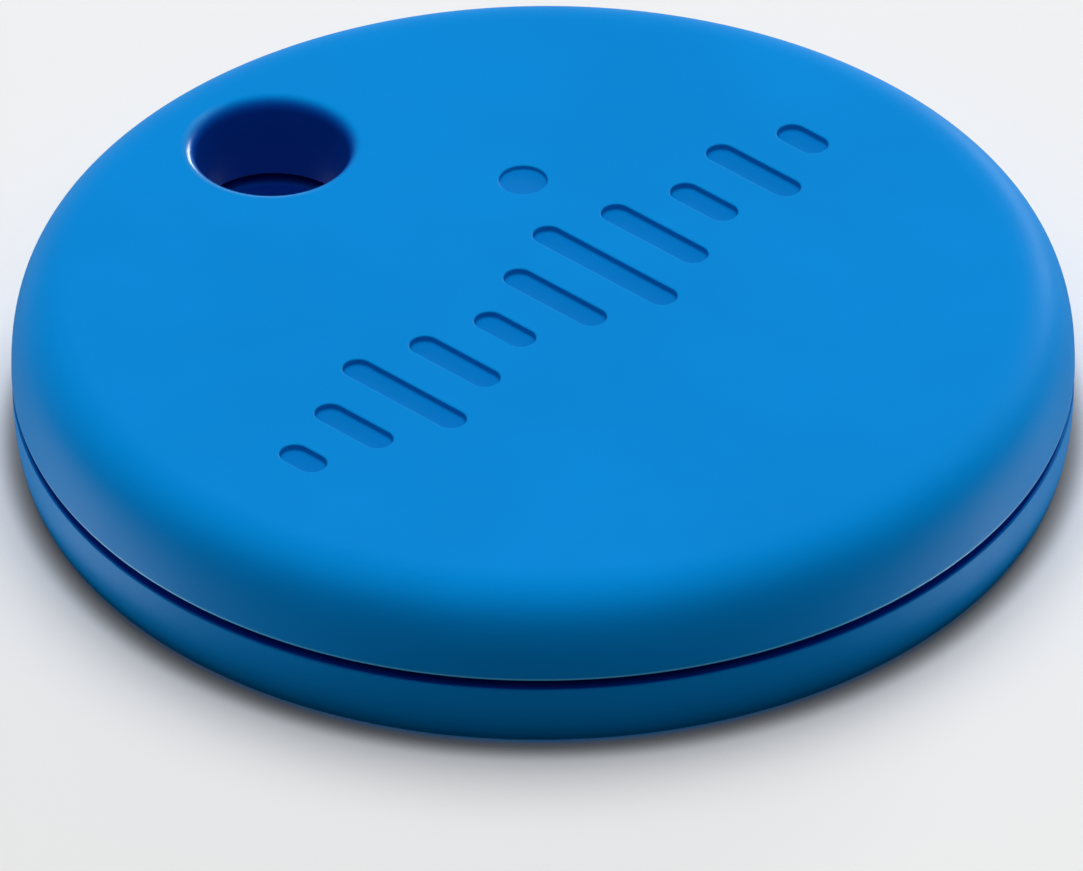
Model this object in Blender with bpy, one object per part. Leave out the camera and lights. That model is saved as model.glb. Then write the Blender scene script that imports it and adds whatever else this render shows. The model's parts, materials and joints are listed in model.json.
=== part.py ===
"""A coin-cell bluetooth tracker tag in a round two-shell case with a keyring hole.

Units are metres and +Z is up. The origin is the centre of the back cover's resting face, the
keyring hole is on +Y and the face that is pressed looks up. Each separate piece is one object.
Pieces that move are parented to an empty on their joint's axis.
"""

import math

import bmesh
import bpy
from mathutils import Matrix, Vector

MM = 0.001

# Case: the driving sizes.
CASE_RADIUS = 18.95 * MM
CASE_HEIGHT = 6.2 * MM
SEAM_LOW = 2.55 * MM
SEAM_GAP = 0.4 * MM
WALL = 1.0 * MM
FLOOR = WALL
ROOF = CASE_HEIGHT - WALL
SIDE_INNER_RADIUS = 17.9 * MM
FRONT_ROUND_WIDTH = 2.5 * MM
FRONT_ROUND_POWER = 2.85
BACK_RADIUS = 18.93 * MM
BACK_ROUND_WIDTH = 0.59 * MM
BACK_ROUND_POWER = 2.24
INNER_FILLET = 0.6 * MM
LATHE_STEPS = 48
ARC_STEPS = 5

# Keyring hole.
HOLE_CENTRE = Vector((0, 13.2 * MM, 0))
HOLE_RADIUS = 2.77 * MM
HOLE_RIM_ROUND = 0.5 * MM
HOLE_TUBE_RADIUS = 3.65 * MM
HOLE_SEAL_INNER = 3.8 * MM
HOLE_SEAL_OUTER = 4.3 * MM
HOLE_CLEARANCE_RADIUS = 4.6 * MM
HOLE_STEPS = 28

# Debossed mark: a row of plain rounded bars, and one round dimple above it.
MARK_DEPTH = 0.22 * MM
MARK_BAR_WIDTH = 1.1 * MM
MARK_PITCH = 2.62 * MM
MARK_SHIFT = -0.6 * MM
MARK_HEIGHTS = [h * MM for h in (1.9, 3.4, 5.6, 4.0, 2.6, 4.6, 6.6, 4.8, 2.9, 4.2, 2.1)]
DIMPLE_CENTRE = Vector((4.5 * MM, 5.1 * MM, 0))
DIMPLE_RADIUS = 0.87 * MM
DIMPLE_DEPTH = 0.15 * MM

# Coin cell, 20 mm across and 3.2 mm high.
CELL_CENTRE = Vector((0, -4.5 * MM, 0))
CELL_RADIUS = 10.0 * MM
CELL_HEIGHT = 3.2 * MM
CELL_BOTTOM = FLOOR + 0.25 * MM
CELL_TOP = CELL_BOTTOM + CELL_HEIGHT
CAN_WALL = 0.3 * MM

# Frame that holds the cell and the board.
FRAME_BOTTOM = FLOOR + 0.1 * MM
POCKET_RADIUS = 10.3 * MM
POCKET_OUTER = 11.0 * MM
POCKET_TOP = FLOOR + 2.8 * MM
FLANGE_RADIUS = 13.4 * MM
FLANGE_TOP = FLOOR + 0.6 * MM
FRAME_LIMIT_RADIUS = 16.6 * MM
STAKE_ORBIT = 12.5 * MM
STAKE_ANGLES = [math.radians(a) for a in (35, 145, 215, 325)]
STAKE_RADIUS = 0.5 * MM
STAKE_HEAD_RADIUS = 0.9 * MM

# Circuit board.
BOARD_RADIUS = 16.7 * MM
BOARD_CUTOUT = 11.2 * MM
BOARD_BOTTOM = FLOOR + 0.7 * MM
BOARD_THICKNESS = 0.8 * MM
BOARD_TOP = BOARD_BOTTOM + BOARD_THICKNESS
STAKE_HOLE_RADIUS = 0.7 * MM
SOLDER_GAP = 0.05 * MM
PART_BASE = BOARD_TOP + SOLDER_GAP

# Clip ring and seal, which hold the front cover and let it float.
CLIP_INNER = 17.0 * MM
CLIP_OUTER = 17.75 * MM
CLIP_BOTTOM = FLOOR + 0.5 * MM
CLIP_TOP = FLOOR + 3.1 * MM
CLIP_BEAD = 0.1 * MM
CLIP_GAP_RADIUS = 5.0 * MM
SEAL_RADIUS = 0.25 * MM
SEAL_CENTRE_RADIUS = 17.35 * MM
SEAL_CENTRE_HEIGHT = ROOF - 0.72 * MM
HOOK_ANGLES = [math.radians(a) for a in (20, 160, 218, 322)]
HOOK_WIDTH = 3.2 * MM
HOOK_DEPTH = 0.5 * MM
HOOK_ORBIT = 16.62 * MM
HOOK_BOTTOM = ROOF - 1.7 * MM

# Push switch, under a nib on the front cover.
SWITCH_CENTRE = Vector((9.5 * MM, 6.0 * MM, 0))
SWITCH_ANGLE = math.radians(-35)
SWITCH_SIZE = (4.2 * MM, 3.2 * MM)
SWITCH_BODY_TOP = FLOOR + 2.65 * MM
SWITCH_WELL_RADIUS = 1.35 * MM
SWITCH_WELL_FLOOR = FLOOR + 1.85 * MM
PLUNGER_TOP = FLOOR + 3.45 * MM
PLUNGER_RADIUS = 0.8 * MM
NIB_RADIUS = 1.1 * MM
NIB_BOTTOM = PLUNGER_TOP + 0.05 * MM

# Piezo sounder, glued under the front cover.
PIEZO_CENTRE = Vector((-4.5 * MM, 0, 0))
PIEZO_RADIUS = 9.0 * MM
CERAMIC_RADIUS = 6.3 * MM
PIEZO_BOTTOM = ROOF - 0.22 * MM
PIEZO_THICKNESS = 0.14 * MM
CERAMIC_BOTTOM = PIEZO_BOTTOM - 0.16 * MM
GLUE_BOTTOM = ROOF - 0.06 * MM
GLUE_THICKNESS = 0.04 * MM
SPRING_GAP = 0.04 * MM

# Battery contacts, bent from thin strip.
STRIP = 0.1 * MM
NEGATIVE_PIVOT = Vector((-10.35 * MM, CELL_CENTRE.y, FLOOR + 0.13 * MM))
CONTACT_WIDTH = 2.2 * MM
CONTACT_SLOT = 2.8 * MM

SMOOTH_ANGLE = math.radians(35)


def clear_scene():
    for old in list(bpy.data.objects):
        bpy.data.objects.remove(old, do_unlink=True)


def material(name, colour, roughness, metallic=0.0):
    made = bpy.data.materials.new(name)
    made.use_nodes = True
    shader = made.node_tree.nodes["Principled BSDF"]
    shader.inputs["Base Color"].default_value = (*colour, 1.0)
    shader.inputs["Roughness"].default_value = roughness
    shader.inputs["Metallic"].default_value = metallic
    return made


# --- Mesh helpers ---------------------------------------------------------------------------


def finish_mesh(name, bm, surface, smooth=True):
    """Turns a bmesh into an object of that name, with its faces pointing out."""
    bmesh.ops.remove_doubles(bm, verts=bm.verts, dist=1e-7)
    bmesh.ops.recalc_face_normals(bm, faces=bm.faces)
    mesh = bpy.data.meshes.new(name)
    bm.to_mesh(mesh)
    bm.free()
    if smooth:
        mesh.shade_smooth()
        mesh.set_sharp_from_angle(angle=SMOOTH_ANGLE)
    obj = bpy.data.objects.new(name, mesh)
    bpy.context.scene.collection.objects.link(obj)
    if surface:
        mesh.materials.append(surface)
    return obj


def lathe(name, profile, surface, centre=Vector((0, 0, 0)), steps=LATHE_STEPS):
    """Turns a closed outline of (radius, height) points about a vertical axis."""
    bm = bmesh.new()
    ring = [bm.verts.new((radius, 0, height)) for radius, height in profile]
    for first, second in zip(ring, ring[1:] + ring[:1]):
        if first.co.x > 0 or second.co.x > 0:
            bm.edges.new((first, second))
    bmesh.ops.spin(
        bm,
        geom=bm.verts[:] + bm.edges[:],
        cent=(0, 0, 0),
        axis=(0, 0, 1),
        angle=2 * math.pi,
        steps=steps,
        use_merge=True,
    )
    bmesh.ops.translate(bm, verts=bm.verts, vec=centre)
    return finish_mesh(name, bm, surface)


def slab(name, outlines, low, high, surface, smooth=True):
    """Extrudes each flat outline between two heights, all into one mesh."""
    bm = bmesh.new()
    for outline in outlines:
        face = bm.faces.new([bm.verts.new((x, y, low)) for x, y in outline])
        grown = bmesh.ops.extrude_face_region(bm, geom=[face])
        top = [v for v in grown["geom"] if isinstance(v, bmesh.types.BMVert)]
        bmesh.ops.translate(bm, verts=top, vec=(0, 0, high - low))
    return finish_mesh(name, bm, surface, smooth)


def ribbon(name, path, width, thickness, surface, centre_y):
    """Bends a strip along a path of (x, height) points, with its width along Y."""
    bm = bmesh.new()
    sides = []
    for y in (centre_y - width / 2, centre_y + width / 2):
        sides.append([bm.verts.new((x, y, height)) for x, height in path])
    for i in range(len(path) - 1):
        bm.faces.new((sides[0][i], sides[0][i + 1], sides[1][i + 1], sides[1][i]))
    obj = finish_mesh(name, bm, surface, smooth=False)
    thick = obj.modifiers.new("Thickness", "SOLIDIFY")
    thick.thickness = thickness
    thick.offset = 0
    thick.use_even_offset = True
    return obj


def arc(centre, radius, start, end, steps=ARC_STEPS):
    """Points of a circular arc, with its angles in radians, both ends included."""
    points = []
    for i in range(steps + 1):
        angle = start + (end - start) * i / steps
        points.append((centre[0] + radius * math.cos(angle), centre[1] + radius * math.sin(angle)))
    return points


def power_arc(corner, width, height, power, steps):
    """A quarter of a superellipse from its widest point to its crown, about its inner corner."""
    points = []
    for i in range(steps + 1):
        angle = math.pi / 2 * i / steps
        across = math.cos(angle) ** (2 / power) if i < steps else 0.0
        along = math.sin(angle) ** (2 / power)
        points.append((corner[0] + width * across, corner[1] + height * along))
    return points


def capsule(x, y, length, width):
    """A bar with round ends, centred on (x, y) and standing along Y."""
    half = (length - width) / 2
    radius = width / 2
    ends = arc((x, y + half), radius, 0, math.pi)
    return ends + arc((x, y - half), radius, math.pi, 2 * math.pi)


def cylinder_profile(radius, low, high):
    return [(0, low), (radius, low), (radius, high), (0, high)]


def ring_profile(inner, outer, low, high):
    return [(inner, low), (outer, low), (outer, high), (inner, high)]


def rectangle(size_x, size_y, centre, angle=0.0):
    turn = Matrix.Rotation(angle, 2)
    corners = []
    for sx, sy in ((-1, -1), (1, -1), (1, 1), (-1, 1)):
        corner = turn @ Vector((sx * size_x / 2, sy * size_y / 2))
        corners.append((corner.x + centre[0], corner.y + centre[1]))
    return corners


def box(name, size_x, size_y, centre, low, high, surface, angle=0.0, edge=0.0):
    """An upright block, with its edges rounded off when edge is given."""
    obj = slab(name, [rectangle(size_x, size_y, centre, angle)], low, high, surface, smooth=False)
    if edge:
        soften = obj.modifiers.new("Edges", "BEVEL")
        soften.width = edge
        soften.segments = 1
        soften.limit_method = "ANGLE"
    return obj


def combine(target, other, operation):
    """Joins or cuts the target with a helper object, which then stays out of the render."""
    other.hide_render = True
    other.display_type = "WIRE"
    step = target.modifiers.new(other.name, "BOOLEAN")
    step.operation = operation
    step.object = other
    return target


def polar(centre, radius, angle):
    return centre + Vector((radius * math.cos(angle), radius * math.sin(angle), 0))


# --- Case -----------------------------------------------------------------------------------


def hole_cutter(name, low, high, rim_at, outwards):
    """The keyring bore, flared where it meets the outer face at height rim_at."""
    flare_centre = (HOLE_RADIUS + HOLE_RIM_ROUND, rim_at - outwards * HOLE_RIM_ROUND)
    if outwards > 0:
        flare = arc(flare_centre, HOLE_RIM_ROUND, math.pi, math.pi / 2)
        profile = [(0, low), (HOLE_RADIUS, low)] + flare
        profile += [(flare[-1][0], high), (0, high)]
    else:
        flare = arc(flare_centre, HOLE_RIM_ROUND, math.pi * 1.5, math.pi)
        profile = [(0, low), (flare[0][0], low)] + flare
        profile += [(HOLE_RADIUS, high), (0, high)]
    return lathe(name, profile, None, HOLE_CENTRE, HOLE_STEPS)


def front_cover(surface):
    seam_top = SEAM_LOW + SEAM_GAP
    rise = CASE_HEIGHT - seam_top
    crown = CASE_RADIUS - FRONT_ROUND_WIDTH
    outer = power_arc((crown, seam_top), FRONT_ROUND_WIDTH, rise, FRONT_ROUND_POWER, 9)
    fillet_centre = (SIDE_INNER_RADIUS - INNER_FILLET, ROOF - INNER_FILLET)
    inner = arc(fillet_centre, INNER_FILLET, math.pi / 2, 0, 2)
    profile = outer + [(0, CASE_HEIGHT), (0, ROOF)] + inner + [(SIDE_INNER_RADIUS, seam_top)]
    cover = lathe("front_cover", profile, surface)

    tube_profile = cylinder_profile(HOLE_TUBE_RADIUS, seam_top, ROOF + WALL / 2)
    tube = lathe("front_tube_join", tube_profile, None, HOLE_CENTRE, HOLE_STEPS)
    combine(cover, tube, "UNION")
    nib_profile = cylinder_profile(NIB_RADIUS, NIB_BOTTOM, ROOF + WALL / 2)
    combine(cover, lathe("front_nib_join", nib_profile, None, SWITCH_CENTRE, 18), "UNION")
    hooks = []
    for angle in HOOK_ANGLES:
        centre = polar(Vector((0, 0, 0)), HOOK_ORBIT, angle)
        hooks.append(rectangle(HOOK_DEPTH, HOOK_WIDTH, centre, angle))
    combine(cover, slab("front_hook_join", hooks, HOOK_BOTTOM, ROOF + WALL / 2, None), "UNION")

    bore = hole_cutter("front_bore_cut", SEAM_LOW, CASE_HEIGHT + WALL, CASE_HEIGHT, 1)
    combine(cover, bore, "DIFFERENCE")
    first = -MARK_PITCH * (len(MARK_HEIGHTS) - 1) / 2
    bars = []
    for i, height in enumerate(MARK_HEIGHTS):
        bars.append(capsule(first + i * MARK_PITCH, MARK_SHIFT, height, MARK_BAR_WIDTH))
    floor = CASE_HEIGHT - MARK_DEPTH
    combine(cover, slab("mark_cut", bars, floor, CASE_HEIGHT + WALL, None), "DIFFERENCE")
    dimple_profile = cylinder_profile(DIMPLE_RADIUS, CASE_HEIGHT - DIMPLE_DEPTH, CASE_HEIGHT + WALL)
    combine(cover, lathe("dimple_cut", dimple_profile, None, DIMPLE_CENTRE, 24), "DIFFERENCE")
    return cover


def back_cover(surface):
    outer = []
    for radius, height in power_arc((0, 0), BACK_ROUND_WIDTH, SEAM_LOW, BACK_ROUND_POWER, 6):
        outer.append((BACK_RADIUS - BACK_ROUND_WIDTH + radius, SEAM_LOW - height))
    outer.reverse()
    fillet_centre = (SIDE_INNER_RADIUS - INNER_FILLET, FLOOR + INNER_FILLET)
    inner = arc(fillet_centre, INNER_FILLET, 0, -math.pi / 2, 2)
    profile = [(0, 0)] + outer + [(SIDE_INNER_RADIUS, SEAM_LOW)] + inner + [(0, FLOOR)]
    cover = lathe("back_cover", profile, surface)
    tube_profile = cylinder_profile(HOLE_TUBE_RADIUS, FLOOR / 2, SEAM_LOW)
    tube = lathe("back_tube_join", tube_profile, None, HOLE_CENTRE, HOLE_STEPS)
    combine(cover, tube, "UNION")
    combine(cover, hole_cutter("back_bore_cut", -WALL, SEAM_LOW + SEAM_GAP, 0, -1), "DIFFERENCE")
    return cover


def clip_ring(surface):
    bead_low = CLIP_BOTTOM + 0.25 * MM
    bead_high = bead_low + 0.4 * MM
    bead_peak = (CLIP_OUTER + CLIP_BEAD, (bead_low + bead_high) / 2)
    profile = [
        (CLIP_INNER, CLIP_BOTTOM),
        (CLIP_OUTER, CLIP_BOTTOM),
        (CLIP_OUTER, bead_low),
        bead_peak,
        (CLIP_OUTER, bead_high),
        (CLIP_OUTER, CLIP_TOP),
        (CLIP_INNER, CLIP_TOP),
    ]
    ring = lathe("clip_ring", profile, surface)
    gap = cylinder_profile(CLIP_GAP_RADIUS, 0, CASE_HEIGHT)
    return combine(ring, lathe("clip_gap_cut", gap, None, HOLE_CENTRE, HOLE_STEPS), "DIFFERENCE")


def cover_seal(surface):
    centre = (SEAL_CENTRE_RADIUS, SEAL_CENTRE_HEIGHT)
    section = arc(centre, SEAL_RADIUS, 0, 2 * math.pi, 6)[:-1]
    return lathe("cover_seal", section, surface)


def hole_seal(surface):
    profile = ring_profile(HOLE_SEAL_INNER, HOLE_SEAL_OUTER, FRAME_BOTTOM, CLIP_TOP)
    return lathe("hole_seal", profile, surface, HOLE_CENTRE, HOLE_STEPS)


# --- Frame and board ------------------------------------------------------------------------


def inner_frame(surface):
    profile = [
        (POCKET_RADIUS, FRAME_BOTTOM),
        (FLANGE_RADIUS, FRAME_BOTTOM),
        (FLANGE_RADIUS, FLANGE_TOP),
        (POCKET_OUTER, FLANGE_TOP),
        (POCKET_OUTER, POCKET_TOP),
        (POCKET_RADIUS, POCKET_TOP),
    ]
    frame = lathe("inner_frame", profile, surface, CELL_CENTRE)
    for i, angle in enumerate(STAKE_ANGLES):
        head_low = BOARD_TOP + SOLDER_GAP
        stake_profile = [
            (0, (FRAME_BOTTOM + FLANGE_TOP) / 2),
            (STAKE_RADIUS, (FRAME_BOTTOM + FLANGE_TOP) / 2),
            (STAKE_RADIUS, head_low),
            (STAKE_HEAD_RADIUS, head_low),
            (STAKE_HEAD_RADIUS * 0.8, head_low + 0.25 * MM),
            (0, head_low + 0.35 * MM),
        ]
        place = polar(CELL_CENTRE, STAKE_ORBIT, angle)
        combine(frame, lathe(f"stake_join_{i + 1}", stake_profile, None, place, 12), "UNION")
    limit_profile = cylinder_profile(FRAME_LIMIT_RADIUS, 0, CASE_HEIGHT)
    combine(frame, lathe("frame_limit", limit_profile, None), "INTERSECT")
    hole_profile = cylinder_profile(HOLE_CLEARANCE_RADIUS, 0, CASE_HEIGHT)
    hole_room = lathe("frame_hole_cut", hole_profile, None, HOLE_CENTRE, HOLE_STEPS)
    combine(frame, hole_room, "DIFFERENCE")
    side = (POCKET_OUTER, CELL_CENTRE.y)
    window = [rectangle(CONTACT_SLOT, 4.0 * MM, side)]
    window_cut = slab("positive_window_cut", window, FLANGE_TOP + 0.2 * MM, CASE_HEIGHT, None)
    combine(frame, window_cut, "DIFFERENCE")
    slot = [rectangle(5.0 * MM, CONTACT_SLOT, (-POCKET_OUTER - 1.2 * MM, CELL_CENTRE.y))]
    slot_cut = slab("negative_slot_cut", slot, 0, FLANGE_TOP + SOLDER_GAP, None)
    combine(frame, slot_cut, "DIFFERENCE")
    return frame


def circuit_board(surface):
    board = lathe("circuit_board", cylinder_profile(BOARD_RADIUS, BOARD_BOTTOM, BOARD_TOP), surface)
    through = (0, CASE_HEIGHT)
    cutout = lathe("board_cell_cut", cylinder_profile(BOARD_CUTOUT, *through), None, CELL_CENTRE)
    combine(board, cutout, "DIFFERENCE")
    hole_profile = cylinder_profile(HOLE_CLEARANCE_RADIUS, *through)
    hole_cut = lathe("board_hole_cut", hole_profile, None, HOLE_CENTRE, HOLE_STEPS)
    combine(board, hole_cut, "DIFFERENCE")
    gap = [rectangle(9.0 * MM, 6.0 * MM, (0, -BOARD_RADIUS))]
    combine(board, slab("board_gap_cut", gap, *through, None), "DIFFERENCE")
    for i, angle in enumerate(STAKE_ANGLES):
        place = polar(CELL_CENTRE, STAKE_ORBIT, angle)
        stake_profile = cylinder_profile(STAKE_HOLE_RADIUS, *through)
        drill = lathe(f"board_stake_cut_{i + 1}", stake_profile, None, place, 16)
        combine(board, drill, "DIFFERENCE")
    return board


def place_chip(name, size_mm, centre_mm, angle_deg, surface):
    """A component block on the board, its sizes and place in millimetres."""
    size_x, size_y, height = (side * MM for side in size_mm)
    centre = (centre_mm[0] * MM, centre_mm[1] * MM)
    turn = math.radians(angle_deg)
    top = PART_BASE + height
    return box(name, size_x, size_y, centre, PART_BASE, top, surface, turn, 0.06 * MM)


def board_components(black, ceramic, steel, ferrite):
    place_chip("bluetooth_chip", (4.4, 4.4, 0.85), (-7.5, 9.8), 37, black)
    place_chip("main_crystal", (2.5, 2.0, 0.6), (-12.9, 2.7), 70, steel)
    place_chip("clock_crystal", (3.2, 1.5, 0.8), (-13.9, -1.1), 88, steel)
    place_chip("chip_antenna", (3.2, 1.6, 1.1), (-14.2, -5.3), 75, ceramic)
    place_chip("boost_inductor", (3.0, 3.0, 1.2), (6.7, 10.4), -33, ferrite)
    place_chip("sounder_driver", (2.0, 2.0, 0.75), (12.7, -8.2), 30, black)
    place_chip("bulk_capacitor", (3.2, 1.6, 1.4), (13.4, 0.6), 85, ferrite)
    place_chip("decoupling_capacitor", (1.6, 0.8, 0.8), (-4.5, 8.0), 25, ceramic)
    place_chip("antenna_capacitor", (1.6, 0.8, 0.8), (-12.4, -8.3), 60, ceramic)
    place_chip("input_capacitor", (1.6, 0.8, 0.8), (4.4, 8.0), -25, ceramic)
    place_chip("gate_resistor", (1.6, 0.8, 0.45), (-11.6, 8.4), 50, black)
    place_chip("bleed_resistor", (1.6, 0.8, 0.45), (13.0, 4.2), 75, black)


# --- Battery --------------------------------------------------------------------------------


def cell_can(surface):
    crimp = CELL_BOTTOM + 0.15 * MM
    lip = 9.3 * MM
    inside = CELL_RADIUS - CAN_WALL
    edge = 0.3 * MM
    profile = [(0, CELL_TOP)]
    profile += arc((CELL_RADIUS - edge, CELL_TOP - edge), edge, math.pi / 2, 0, 2)
    profile += arc((CELL_RADIUS - edge, crimp + edge), edge, 0, -math.pi / 2, 2)
    profile += [(lip, crimp), (lip, crimp + 0.3 * MM), (inside, crimp + 0.4 * MM)]
    profile += [(inside, CELL_TOP - CAN_WALL), (0, CELL_TOP - CAN_WALL)]
    return lathe("cell_can", profile, surface, CELL_CENTRE)


def cell_gasket(surface):
    top = CELL_TOP - CAN_WALL - 0.07 * MM
    lip_low = CELL_BOTTOM + 0.07 * MM
    lip_high = CELL_BOTTOM + 0.52 * MM
    inner_step = 0.35 * MM
    profile = [
        (8.98 * MM, lip_low),
        (9.25 * MM, lip_low),
        (9.25 * MM, lip_high),
        (9.64 * MM, lip_high + 0.1 * MM),
        (9.64 * MM, top),
        (9.32 * MM, top),
        (9.32 * MM, lip_high + inner_step),
        (8.98 * MM, lip_high + 0.07 * MM),
    ]
    return lathe("cell_gasket", profile, surface, CELL_CENTRE)


def cell_cap(surface):
    top = CELL_TOP - CAN_WALL - 0.07 * MM
    edge = 0.25 * MM
    shoulder = 8.92 * MM
    profile = [(0, CELL_BOTTOM)]
    profile += arc((shoulder - edge, CELL_BOTTOM + edge), edge, -math.pi / 2, 0, 2)
    wide = 9.26 * MM
    profile += [(shoulder, CELL_BOTTOM + 0.63 * MM), (wide, CELL_BOTTOM + 0.93 * MM)]
    profile += [(wide, top), (0, top)]
    return lathe("cell_cap", profile, surface, CELL_CENTRE)


def positive_contact(surface):
    pad = PART_BASE + STRIP / 2
    path = [
        (13.4 * MM, pad),
        (11.5 * MM, pad),
        (11.25 * MM, pad + 0.25 * MM),
        (11.1 * MM, FLOOR + 2.95 * MM),
        (10.85 * MM, FLOOR + 3.15 * MM),
        (10.6 * MM, FLOOR + 2.95 * MM),
        (10.2 * MM, FLOOR + 2.3 * MM),
        (10.45 * MM, FLOOR + 1.8 * MM),
    ]
    return ribbon("positive_contact", path, 3.0 * MM, STRIP, surface, CELL_CENTRE.y)


def negative_contact_base(surface):
    under_board = BOARD_BOTTOM - SOLDER_GAP - STRIP / 2
    path = [
        (-14.6 * MM, under_board),
        (-12.2 * MM, under_board),
        (-11.8 * MM, NEGATIVE_PIVOT.z),
        (NEGATIVE_PIVOT.x - STRIP, NEGATIVE_PIVOT.z),
    ]
    return ribbon("negative_contact_base", path, CONTACT_WIDTH, STRIP, surface, CELL_CENTRE.y)


def negative_contact_finger(surface):
    low = NEGATIVE_PIVOT.z
    path = [
        (NEGATIVE_PIVOT.x, low),
        (-5.0 * MM, low),
        (-3.6 * MM, low + 0.02 * MM),
        (-2.6 * MM, low),
    ]
    return ribbon("negative_contact_finger", path, 1.6 * MM, STRIP, surface, CELL_CENTRE.y)


# --- Switch and sounder ---------------------------------------------------------------------


def switch_parts(plastic, metal, stem):
    body = slab(
        "switch_body",
        [rectangle(*SWITCH_SIZE, SWITCH_CENTRE, SWITCH_ANGLE)],
        PART_BASE,
        SWITCH_BODY_TOP,
        plastic,
        smooth=False,
    )
    well_profile = cylinder_profile(SWITCH_WELL_RADIUS, SWITCH_WELL_FLOOR, CASE_HEIGHT)
    combine(body, lathe("switch_well_cut", well_profile, None, SWITCH_CENTRE, 18), "DIFFERENCE")

    plate_low = SWITCH_BODY_TOP + SOLDER_GAP
    plate = slab(
        "switch_plate",
        [rectangle(*SWITCH_SIZE, SWITCH_CENTRE, SWITCH_ANGLE)],
        plate_low,
        plate_low + 0.15 * MM,
        metal,
        smooth=False,
    )
    window_profile = cylinder_profile(PLUNGER_RADIUS + 0.12 * MM, 0, CASE_HEIGHT)
    window = lathe("switch_plate_cut", window_profile, None, SWITCH_CENTRE, 18)
    combine(plate, window, "DIFFERENCE")

    dome_edge = 1.25 * MM
    dome_low = SWITCH_WELL_FLOOR + SOLDER_GAP
    dome_rise = 0.3 * MM
    dome_skin = 0.07 * MM
    upper = []
    for i in range(7):
        across = dome_edge * (1 - i / 6)
        bulge = dome_rise * (1 - (across / dome_edge) ** 2)
        upper.append((across, dome_low + dome_skin + bulge))
    lower = [(radius, height - dome_skin) for radius, height in reversed(upper)]
    lathe("switch_dome", upper + lower, metal, SWITCH_CENTRE, 18)

    flange_low = dome_low + dome_skin + dome_rise + SOLDER_GAP
    flange_high = SWITCH_BODY_TOP - SOLDER_GAP
    crown = 0.15 * MM
    plunger_profile = [
        (0, flange_low),
        (SWITCH_WELL_RADIUS - 0.2 * MM, flange_low),
        (SWITCH_WELL_RADIUS - 0.2 * MM, flange_high),
        (PLUNGER_RADIUS, flange_high),
    ]
    plunger_profile += arc((PLUNGER_RADIUS - crown, PLUNGER_TOP - crown), crown, 0, math.pi / 2, 3)
    plunger_profile += [(0, PLUNGER_TOP)]
    return lathe("switch_plunger", plunger_profile, stem, SWITCH_CENTRE, 18)


def piezo_parts(brass, ceramic, glue):
    disc_profile = cylinder_profile(PIEZO_RADIUS, PIEZO_BOTTOM, PIEZO_BOTTOM + PIEZO_THICKNESS)
    disc = lathe("piezo_disc", disc_profile, brass, PIEZO_CENTRE, 40)
    pellet_profile = cylinder_profile(
        CERAMIC_RADIUS, CERAMIC_BOTTOM, CERAMIC_BOTTOM + PIEZO_THICKNESS
    )
    pellet = lathe("piezo_ceramic", pellet_profile, ceramic, PIEZO_CENTRE, 36)
    ring = ring_profile(7.4 * MM, 8.8 * MM, GLUE_BOTTOM, GLUE_BOTTOM + GLUE_THICKNESS)
    adhesive = lathe("piezo_adhesive", ring, glue, PIEZO_CENTRE, 40)
    return [disc, pellet, adhesive]


def coil_spring(name, centre, top, surface):
    """A small upright coil, as a round wire along a helix."""
    wire = 0.1 * MM
    radius = 0.5 * MM
    turns = 3.5
    points_per_turn = 10
    low = PART_BASE + wire
    count = int(turns * points_per_turn)
    curve = bpy.data.curves.new(name, "CURVE")
    curve.dimensions = "3D"
    curve.bevel_depth = wire
    curve.bevel_resolution = 1
    curve.use_fill_caps = True
    helix = curve.splines.new("POLY")
    helix.points.add(count)
    for i in range(count + 1):
        angle = 2 * math.pi * i / points_per_turn
        height = low + (top - wire - low) * i / count
        x = centre.x + radius * math.cos(angle)
        y = centre.y + radius * math.sin(angle)
        helix.points[i].co = (x, y, height, 1)
    obj = bpy.data.objects.new(name, curve)
    curve.materials.append(surface)
    bpy.context.scene.collection.objects.link(obj)
    return obj


# --- Assembly -------------------------------------------------------------------------------


def on_pivot(name, place, pieces, parent=None):
    """Adds an empty on a joint's axis and parents the pieces to it where they are."""
    pivot = bpy.data.objects.new(name, None)
    pivot.empty_display_size = 2 * MM
    pivot.location = place
    bpy.context.scene.collection.objects.link(pivot)
    bpy.context.view_layer.update()
    for piece in pieces:
        piece.parent = pivot
        piece.matrix_parent_inverse = Matrix.Translation(-place)
    if parent:
        pivot.parent = parent
        pivot.matrix_parent_inverse = parent.matrix_world.inverted()
        bpy.context.view_layer.update()
    return pivot


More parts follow.
